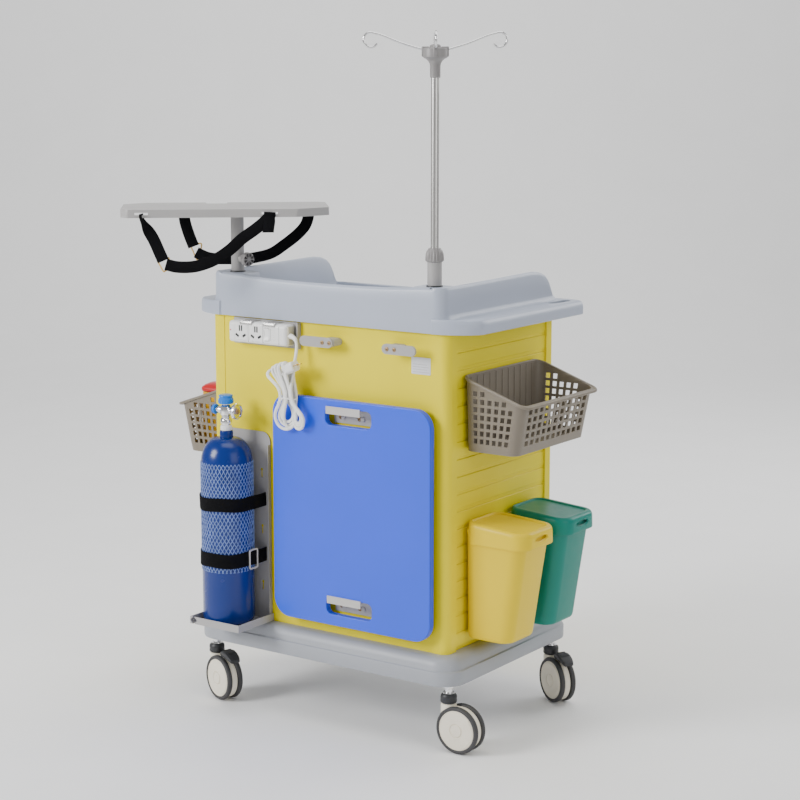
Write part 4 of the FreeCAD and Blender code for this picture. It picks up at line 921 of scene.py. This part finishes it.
def bottle_straps():
    """The two straps round the cylinder, the keepers on them and the wire buckle of the lower one."""
    centre, radius, _ = bottle_axis()
    reach = radius + 2.7
    wall = -212.6
    mesh = bmesh.new()
    for middle, half_tall, phase in STRAPS:
        points = [Vector((centre.x - reach - 1, wall, middle)),
                  Vector((centre.x - reach - 0.8, (wall + centre.y) / 2, middle + 0.6))]
        for step in range(25):
            angle = math.pi + step * math.pi / 24
            points.append(Vector((centre.x + reach * math.cos(angle), centre.y + reach * math.sin(angle),
                                  middle + 1.3 * math.sin(step * 0.5 + phase))))
        points += [Vector((centre.x + reach + 0.8, (wall + centre.y) / 2, middle - 0.6)),
                   Vector((centre.x + reach + 1, wall, middle))]
        path = smooth_path(points, 3)
        halves = [Vector((0.05 * math.sin(i * 0.21 + phase) * half_tall, 0, half_tall))
                  for i in range(len(path))]
        band_mesh(mesh, path, halves, 2.0)
    for middle, half_tall, _ in STRAPS:
        turn = Matrix.Translation((centre.x - reach - 2.2, centre.y + 6, middle))
        block(mesh, (-1.3, -11, 0.5 - half_tall), (1.3, 11, half_tall - 0.5), 1, 0.5, turn)
    add("bottle_straps", mesh, "cart", WEBBING, ("oxygen_straps",))
    wire = bmesh.new()
    x, y = centre.x + reach + 2.2, centre.y + 12
    loop = [Vector((x, y + dy, 347 + dz)) for dy,
            dz in ((-13, -17), (-13, 0), (-13, 17), (-10, 20), (0, 20.6), (10, 20), (13, 17), (13, 0),
                                                       (13, -17), (10, -20), (0, -20.6), (-10, -20))]
    path = smooth_path(loop + loop[:1], 3)[:-1]
    sweep(wire, path, circle(1.9, 10), closed=True, up=Vector((1, 0, 0)))
    add("strap_buckle", wire, "cart", LIGHT_STEEL)


# ---------------------------------------------------------------- shelf straps, knobs and drip pole

SHELF_AT = Vector((-256, -182, 0))
SHELF_TURN = math.radians(40.4)
HOOK_TURN = math.radians(34.4)


def on_shelf(p, q, z):
    """A point given along and across the turned shelf."""
    c, s = math.cos(SHELF_TURN), math.sin(SHELF_TURN)
    return SHELF_AT + Vector((p * c - q * s, p * s + q * c, z))


def shelf_webbing():
    """Each strap: a short tab with a wire ring at the left and a long tail from the ring to the right."""
    straps = bmesh.new()
    rings = bmesh.new()
    layout = (
        (-109, ((-201, 1090), (-200, 1080), (-191, 1062), (-176, 1036), (-165, 1010), (-157, 991)),
         ((-152, 984), (-145, 982), (-127, 978), (-97, 978), (-71, 984), (-45, 995), (-18, 1013), (8, 1036),
          (35, 1055),
          (55, 1071), (66, 1083), (67, 1092)), 1.3),
        (109, ((-115, 1090), (-115, 1078), (-113, 1056), (-105, 1028), (-95, 1001)),
         ((-90, 988), (-84, 985), (-66, 977), (-46, 973.6), (-14, 973), (16, 973), (44, 976), (77, 985),
          (106, 1004),
          (132, 1024), (150, 1043), (158, 1062), (159, 1080), (159, 1092)), 0.25))
    flat = Vector((-math.sin(SHELF_TURN), math.cos(SHELF_TURN), 0))
    for q, tab, tail, fold in layout:
        narrow = 1 if q < 0 else 0.94
        for part, points in enumerate((tab, tail)):
            path = smooth_path([on_shelf(p, q, z) for p, z in points], 6)
            count = len(path) - 1
            halves = []
            for i in range(count + 1):
                share = i / count
                if part == 0:
                    turn = fold / (1 + math.exp((share - 0.42) / 0.06))
                else:
                    turn = 0.16 * math.sin(share * 9.0) * math.sin(share * math.pi)
                ahead = (path[min(i + 1, count)] - path[max(i - 1, 0)]).normalized()
                upward = ahead.cross(flat).normalized()
                halves.append((upward * math.cos(turn) + flat * math.sin(turn)) * 12.4)
            band_mesh(straps, path, halves, 1.8)
        end, start = tab[-1], tail[0]
        corners = [(end[0] - 14, end[1] + 4), (end[0] + 13, end[1] + 7), (start[0] + 2, start[1] - 12),
                   (start[0] - 5, start[1] - 16)]
        corners = [on_shelf(p * narrow, q + 1.5, z) for p, z in corners]
        loop = [a.lerp(b, share) for a, b in zip(corners, corners[1:] + corners[:1])
                for share in (0.12, 0.5, 0.88)]
        sweep(rings, smooth_path(loop + loop[:1], 3)[:-1], circle(1.7, 8), closed=True, up=flat)
    flap = [on_shelf(p, -111.5, z) for p, z in ((66, 1082), (66, 1070), (64, 1058), (63, 1049))]
    path = smooth_path(flap, 4)
    band_mesh(straps, path, [(on_shelf(1, 0, 0) - on_shelf(0, 0, 0)) * 12 for _ in path], 1.6)
    add("shelf_webbing", straps, "shelf", WEBBING, ("shelf_straps",))
    add("strap_rings", rings, "shelf", BRASS)


def star_knob():
    """A round clamp knob with eight deep pockets between its spokes."""
    low, high = span("shelf_post_knob")
    axis = Vector(JOINTS["shelf_knob_turn"]["axis"])
    place = aim(axis, (SHELF_AT.x, SHELF_AT.y, (low.z + high.z) / 2))
    radius = (high.z - low.z) / 2
    mesh = bmesh.new()
    lathe(mesh, [(0, 13), (3.9, 13), (3.9, 26), (8, 26.5), (9, 28), (9, 30), (0, 30)], place, 32)
    rings = []
    for along, out, depth in ((28.6, radius - 2.4, 0.4), (29.6, radius - 0.9, 0.8), (31, radius - 0.3, 1.0),
                              (38.6, radius - 0.3, 1.0),
                              (40.2, radius - 1, 0.8), (41, radius - 2.6, 0.4), (41, 0.4, 0)):
        rings.append([place @ Vector((reach * math.cos(angle), reach * math.sin(angle), along)) for angle,
                      reach in
                      ((a, out - depth * (0.5 - 0.5 * math.cos(8 * a))) for a in angles(96))])
    loft(mesh, rings)
    knob = add("star_grip", mesh, "shelf_knob", POLE_GREY, ("shelf_post_knob",))
    pits = bmesh.new()
    for spin in spokes(place, 8, math.tau / 16):
        inner, outer = 4.6, radius - 3
        ring = [(inner, -0.9), (outer - 1, -3.2), (outer, -2.4), (outer + 0.4, 0), (outer, 2.4),
                (outer - 1, 3.2), (inner, 0.9)]
        loft(pits, [[spin @ Vector((x, y, z)) for x, y in ring] for z in (33, 45)])
    cut_away(knob, pits, "knob_pits")
    knob.data.materials.clear()
    knob.data.materials.append(POLE_GREY)


def drip_set():
    """The knurled lock nut, the head of the pole and its four bag hooks."""
    spot = Vector(JOINTS["iv_nut_turn"]["pos_m"]) / MM
    place = Matrix.Translation((spot.x, spot.y, 0))
    nut_low, nut_high = span("iv_lock_nut")
    nut = bmesh.new()
    rings = []
    for radius, z, depth in ((16.5, nut_low.z + 0.3, 0), (18.2, nut_low.z + 2, 0.3),
                             (18.4, nut_low.z + 4, 0.9), (17.4, nut_low.z + 16, 0.9),
                             (15.8, nut_high.z - 6, 0.5), (13.6, nut_high.z - 3, 0),
                             (12.8, nut_high.z - 1, 0), (11, nut_high.z, 0),
                             (8.6, nut_high.z, 0)):
        rings.append([place @ Vector((reach * math.cos(angle), reach * math.sin(angle), z)) for angle,
                      reach in
                      ((a, radius + depth * math.cos(18 * a)) for a in angles(96))])
    loft(nut, rings)
    add("pole_lock_nut", nut, "iv_nut", POLE_GREY, ("iv_lock_nut",))

    hub = bmesh.new()
    pole_top = span("iv_pole")[1].z
    lathe(hub, [(0, pole_top), (9.6, pole_top), (10.4, pole_top + 1), (10.6, 1394), (11.5, 1399),
                (14.5, 1404), (19, 1408), (23.4, 1410),
                (24.6, 1411.6), (24.8, 1425), (24, 1428), (21.5, 1429.4), (12, 1430), (11, 1433.5), (8, 1436),
                (0, 1437)], place, 56)
    for spin in spokes(place, 4, HOOK_TURN):
        block(hub, (12, -4.6, 1412), (27, 4.6, 1432), 2, 1.6, spin)
    add("pole_head", hub, "iv", POLE_GREY, ("iv_head",))
    wire = bmesh.new()
    for spin in spokes(place, 4, HOOK_TURN):
        points = vectors((14, 0, 1424), (20, 0, 1425), (26, 0, 1426.6), (45, 0, 1432), (70, 0, 1440),
                         (95, 0, 1450), (110, 0, 1455.6))
        for angle in (118, 104, 90, 76, 62, 45, 25, 0, -25, -50, -75, -100, -125, -148):
            turn = math.radians(angle)
            points.append(Vector((127 + 14.5 * math.cos(turn), 0, 1445 + 14.5 * math.sin(turn))))
        path = [spin @ point for point in smooth_path(points, 4)]
        side = spin.to_3x3() @ Vector((0, 1, 0))
        sweep(wire, path, circle(2.2, 12), up=side)
    add("bag_hooks", wire, "iv", CHROME)


# ---------------------------------------------------------------- baskets

def basket(name, side, high_z):
    """A moulded basket: a solid back, perforated sides and front, a solid floor and a rolled rim."""
    low, high = span(name)
    tall, drop, wall, corner_radius, steps = 155, 52, 309, 20, 8
    foot_z = high_z - tall
    middle = (low.y + high.y) / 2
    half_top, deep_top, deep_foot = (high.y - low.y) / 2, 150, 122
    row_pitch, row_hole, first_row = 16.4, 10.8, 17.5
    corner = steps + 1

    def plan(height):
        share = height / tall
        half, deep = half_top - 8 + 8 * share, deep_foot + (deep_top - deep_foot) * share
        return rounded_plan(0, deep, -half, half, corner_radius, 0, steps)

    def rim_height(x):
        return tall - drop * min(max(x / deep_top, 0), 1)

    heights, rows = [0.0], []
    for row in range(8):
        start = first_row + row * row_pitch
        rows.append(len(heights))
        heights += [start, start + row_hole]
    heights += [tall - 3, tall]
    heights = sorted(set(height for height in heights if height <= tall))

    top_ring = plan(tall)
    columns = []
    for index, (pitch, hole) in enumerate(((18.6, 11.2), (500, 0), (18.6, 11.2), (22.4, 14.6))):
        columns += [(index, k, 0.0, False) for k in range(corner - 1)]
        here, following = top_ring[index * corner + corner - 1], top_ring[(index + 1) % 4 * corner]
        length = (following - here).length
        count = int((length + pitch - hole - 2) / pitch)
        start = (length - count * pitch + pitch - hole) / 2
        shares = [(0.0, False)]
        for i in range(count):
            shares += [((start + i * pitch) / length, True), ((start + i * pitch + hole) / length, False)]
        columns += [(index, corner - 1, share, is_open) for share, is_open in shares]

    def place(column, height):
        index, k, share, _ = column
        ring = plan(height)
        spot = ring[index * corner + k]
        if share:
            spot = spot.lerp(ring[(index + 1) % 4 * corner], share)
        limit = rim_height(spot.x)
        if height == tall:
            return Vector((spot.x, spot.y, limit))
        return Vector((spot.x, spot.y, min(height, limit - 3)))

    mesh = bmesh.new()
    grid = [[mesh.verts.new(place(column, height)) for height in heights] for column in columns]
    for i, column in enumerate(columns):
        following = grid[(i + 1) % len(columns)]
        for row in range(len(heights) - 1):
            a, b, c, d = grid[i][row], following[row], following[row + 1], grid[i][row + 1]
            top = min(rim_height(a.co.x), rim_height(b.co.x))
            if column[3] and row in rows and heights[row + 1] < top - 8:
                continue
            if (a.co - d.co).length < 0.01 and (b.co - c.co).length < 0.01:
                continue
            mesh.faces.new((a, b, c, d))
    mesh.faces.new([line[0] for line in grid][::-1])
    bmesh.ops.remove_doubles(mesh, verts=mesh.verts, dist=0.005)
    bmesh.ops.delete(mesh, geom=[v for v in mesh.verts if not v.link_faces], context="VERTS")
    turn = Matrix.Translation((side * wall, middle, foot_z)) @ Matrix.Rotation(0 if side > 0 else math.pi, 4,
                                                                               "Z")
    mesh.transform(turn)
    shell = add(name + "_shell", mesh, "cart", BASKET, (name,))
    solid = shell.modifiers.new("wall", "SOLIDIFY")
    solid.thickness = 2.4 * MM
    solid.offset = -1
    bevel(shell, 0.5).modifiers["soft_edges"].angle_limit = math.radians(50)
    rim = bmesh.new()
    ring = rounded_plan(0, deep_top, -half_top, half_top, corner_radius, 0, 12)
    path = [turn @ Vector((p.x, p.y, rim_height(p.x) - 2)) for p in ring]
    section = [(-3.0, -3.0), (2.4, -3.0), (3.7, -2.0), (4.1, 0.4), (3.4, 2.2), (1.2, 3.0), (-1.6, 2.8),
               (-3.0, 1.4)]
    sweep(rim, path, section, closed=True)
    for y in range(-120, 121, 24):
        a, b = turn @ Vector((2.2, y - 1.2, 8)), turn @ Vector((3.6, y + 1.2, tall - 4))
        lows = [min(a[i], b[i]) for i in range(3)]
        highs = [max(a[i], b[i]) for i in range(3)]
        block(rim, lows, highs, 0.6, 0.5)
    add(name + "_rim", rim, "cart", BASKET)


# ---------------------------------------------------------------- bins

def bin_parts(name, paint):
    """A tapered bin with a rolled foot, and a deep-skirted lid with a raised edge round a sunk panel."""
    low, high = span(name)
    lid_low, lid_high = span(name + "_lid")
    wall = low.x
    half_top, middle = (high.y - low.y) / 2, (low.y + high.y) / 2
    deep_top, rise = high.x - low.x, high.z - low.z
    bow = 2.5  # how far the front bulges in the middle
    mesh = bmesh.new()

    def body_ring(share, inset, radius, grow=0):
        deep, half = 110 + (deep_top - 110) * share, half_top - 6 + 6 * share
        ring = rounded_plan(wall + inset, wall + deep - inset + grow, middle - half + inset - grow,
                            middle + half - inset + grow, radius,
                            low.z + rise * share, 10)
        return [Vector((p.x - bow * ((p.y - middle) / half) ** 2 * (p.x - wall) / deep, p.y, p.z))
                for p in ring]

    rows = ((0, 12, 20), (0.002, 7, 22), (0.008, 3, 24), (0.022, 0.8, 26), (0.045, 0, 27), (0.5, 0, 28),
            (0.955, 0, 28), (0.962, 0, 28, 1.5), (0.99, 0, 28, 1.5), (1, 0.8, 28), (1, 2.6, 26),
            (0.5, 2.6, 25), (0.03, 2.8, 24), (0.02, 9, 20))
    loft(mesh, [body_ring(*row) for row in rows])
    add(name + "_body", mesh, "cart", paint, (name,))

    lid = bmesh.new()
    x0, x1 = lid_low.x, lid_high.x
    half, middle = (lid_high.y - lid_low.y) / 2, (lid_high.y + lid_low.y) / 2
    skirt, top = lid_low.z, lid_high.z

    def ring(inset, z, level):
        points = rounded_plan(x0 + inset * 0.5, x1 - inset, middle - half + inset, middle + half - inset,
                              max(32 - inset, 8), 0, 12)
        slope = 0.073 * level
        out = []
        for p in points:
            along = (p.x - x0) / (x1 - x0)
            bow = -3.5 * along * ((p.y - middle) / half) ** 2
            out.append(Vector((p.x + bow, p.y, z - slope * (p.x - x0))))
        return out

    rows = ((20, top - 6.5, 1), (4.4, top - 9, 1), (3.4, top - 14, 1), (3.4, skirt + 1.5, 0),
            (2.2, skirt + 0.3, 0), (0.8, skirt, 0), (0.1, skirt + 1.2, 0), (0, skirt + 4, 0),
            (0.6, top - 11, 1), (1.4, top - 6, 1), (3, top - 2.8, 1), (5.4, top - 1, 1), (8.4, top - 0.2, 1),
            (12, top, 1), (14.6, top - 0.4, 1), (16, top - 1.6, 1), (17, top - 3, 1), (19, top - 3.4, 1),
            (30, top - 3.4, 1))
    loft(lid, [ring(*row) for row in rows])
    cover = add(name + "_cover", lid, name + "_cover", paint, (name + "_lid",))
    grip = bmesh.new()
    loft(grip, [[Vector((x1 + depth, middle + wide * c, skirt + 18 + tall * s)) for c, s in circle(1, 40)]
                for depth, wide, tall in ((-5.2, 22, 4.6), (-3.4, 25, 6.4), (6, 30, 11))])
    cut_away(cover, grip, "grip_recess")
    notch = bmesh.new()
    block(notch, (x1 - 26, middle - half - 3, top - 5.4), (x1 - 19, middle - half + 13, top + 4), 1, 0.4)
    cut_away(cover, notch, "lid_notch")


def sharps():
    """The sharps box and its domed lid."""
    low, high = span("sharps_box")
    lid_low, lid_high = span("sharps_lid")
    box = bmesh.new()
    rows = ((4, low.z), (1, low.z + 1.5), (0, low.z + 5), (0, high.z - 8), (0.8, high.z - 7), (0.8, high.z))
    loft(box, inset_rings(low, high, rows, lambda inset: 12, 8))
    add("sharps_tub", box, "cart", SHARPS, ("sharps_box",))
    cover = bmesh.new()
    foot = lid_low.z
    rows = ((3, foot + 1), (0.5, foot + 1.4), (0, foot + 3), (0, foot + 8), (1.5, foot + 11), (6, foot + 15),
            (14, foot + 19), (26, lid_high.z - 0.6), (38, lid_high.z))
    loft(cover, inset_rings(lid_low, lid_high, rows, lambda inset: max(18 - inset * 0.2, 6), 8))
    add("sharps_dome", cover, "sharps_cover", RED, ("sharps_lid",))


# ---------------------------------------------------------------- kept CAD nodes

def finish_cad():
    """Gives each CAD node that stays its material, and soft edges where they are machined or folded."""
    plan = {
        YELLOW: ["corner_columns", "rear_panel", "front_rail"] + [f"drawer_{n}" for n in range(1, 6)],
        STEEL: ["cpr_brackets", "cord_cleats", "power_bracket", "oxygen_bracket", "shelf_spigot",
                "shelf_post",
                "monitor_shelf", "iv_socket"],
        BRUSHED: ["chassis_frame", "drawer_runners", "hook_plates"],
        CHROME: ["iv_pole", "lock_barrel"],
        BOARD: ["cpr_board"],
    }
    for material, names in plan.items():
        for name in names:
            kept = frame["nodes"][name]
            kept.data.materials.clear()
            kept.data.materials.append(material)
    for name in ("cpr_brackets", "power_bracket", "oxygen_bracket", "monitor_shelf", "front_rail"):
        kept = frame["nodes"][name]
        weld = kept.modifiers.new("joined", "WELD")
        weld.merge_threshold = 0.00001
        bevel(kept, 0.6)
    frame["nodes"]["cpr_brackets"].data.materials[0] = LIGHT_STEEL
    frame["nodes"]["iv_pole"].data.materials[0] = BRUSHED


# ---------------------------------------------------------------- stage

def stage():
    """A pale floor that curves up into a wall behind the trolley, a white world and five soft lamps."""
    reach, flat, curve, tall = 9000, 4400, 2000, 7000
    bends = [step * math.pi / 24 for step in range(1, 13)]
    profile = [(-reach, 0), (flat, 0), *((flat + curve * math.sin(a), curve - curve * math.cos(a))
                                         for a in bends),
               (flat + curve, tall)]
    turn = Matrix.Rotation(AZIMUTH, 4, "Z")
    floor = bmesh.new()
    rings = [[turn @ Vector((x, y, z)) for x in (-reach, reach)] for y, z in profile]
    loft(floor, rings, closed=False, caps=(False, False))
    data = in_metres(floor, "floor")
    data.shade_smooth()
    backdrop = put("floor", data)
    data.materials.append(surface("pale_floor", (0.93, 0.93, 0.93), 0.7, vary=0.01, grain=60, bump=0.01,
                                  wear=0))

    world = bpy.data.worlds.new("studio")
    world.use_nodes = True
    glow = world.node_tree.nodes["Background"].inputs
    glow["Color"].default_value = (1, 1, 1, 1)
    glow["Strength"].default_value = 0.42
    bpy.context.scene.world = world
    centre, wall = (0, 0, 0.7), turn @ Vector((0, 6.4, 0.9))
    for name, place, target, size, power in (("key", (-1.9, -3.3, 2.2), centre, 1.5, 150),
                                             ("fill", (3.4, -1.2, 1.8), centre, 2.2, 26),
                                             ("top", (0.2, -0.3, 3.6), centre, 2.4, 60),
                                             ("back", (1.5, 3.2, 2.4), centre, 2.0, 60),
                                             ("backdrop", turn @ Vector((0, 3.0, 4.6)), wall, 3.5, 120)):
        light = bpy.data.lights.new(name, "AREA")
        light.size = size
        light.energy = power
        lamp = put(name, light)
        lamp.location = place
        point_at(lamp, Vector(target) - Vector(place))


# ---------------------------------------------------------------- the whole trolley

camera()
mains_lead()
tray()
base()
slats("side_slats_right", 1)
slats("side_slats_left", -1)
fasteners()
rating_plate()
for corner_tag in ("rr", "rl", "fr", "fl"):
    caster(corner_tag)
stems()
power_strip()
bottle()
valve()
bottle_straps()
shelf_webbing()
star_knob()
drip_set()
basket("basket_right", 1, 775)
basket("basket_left", -1, 695)
bin_parts("bin_yellow", BIN_YELLOW)
bin_parts("bin_green", BIN_GREEN)
sharps()
finish_cad()
stage()
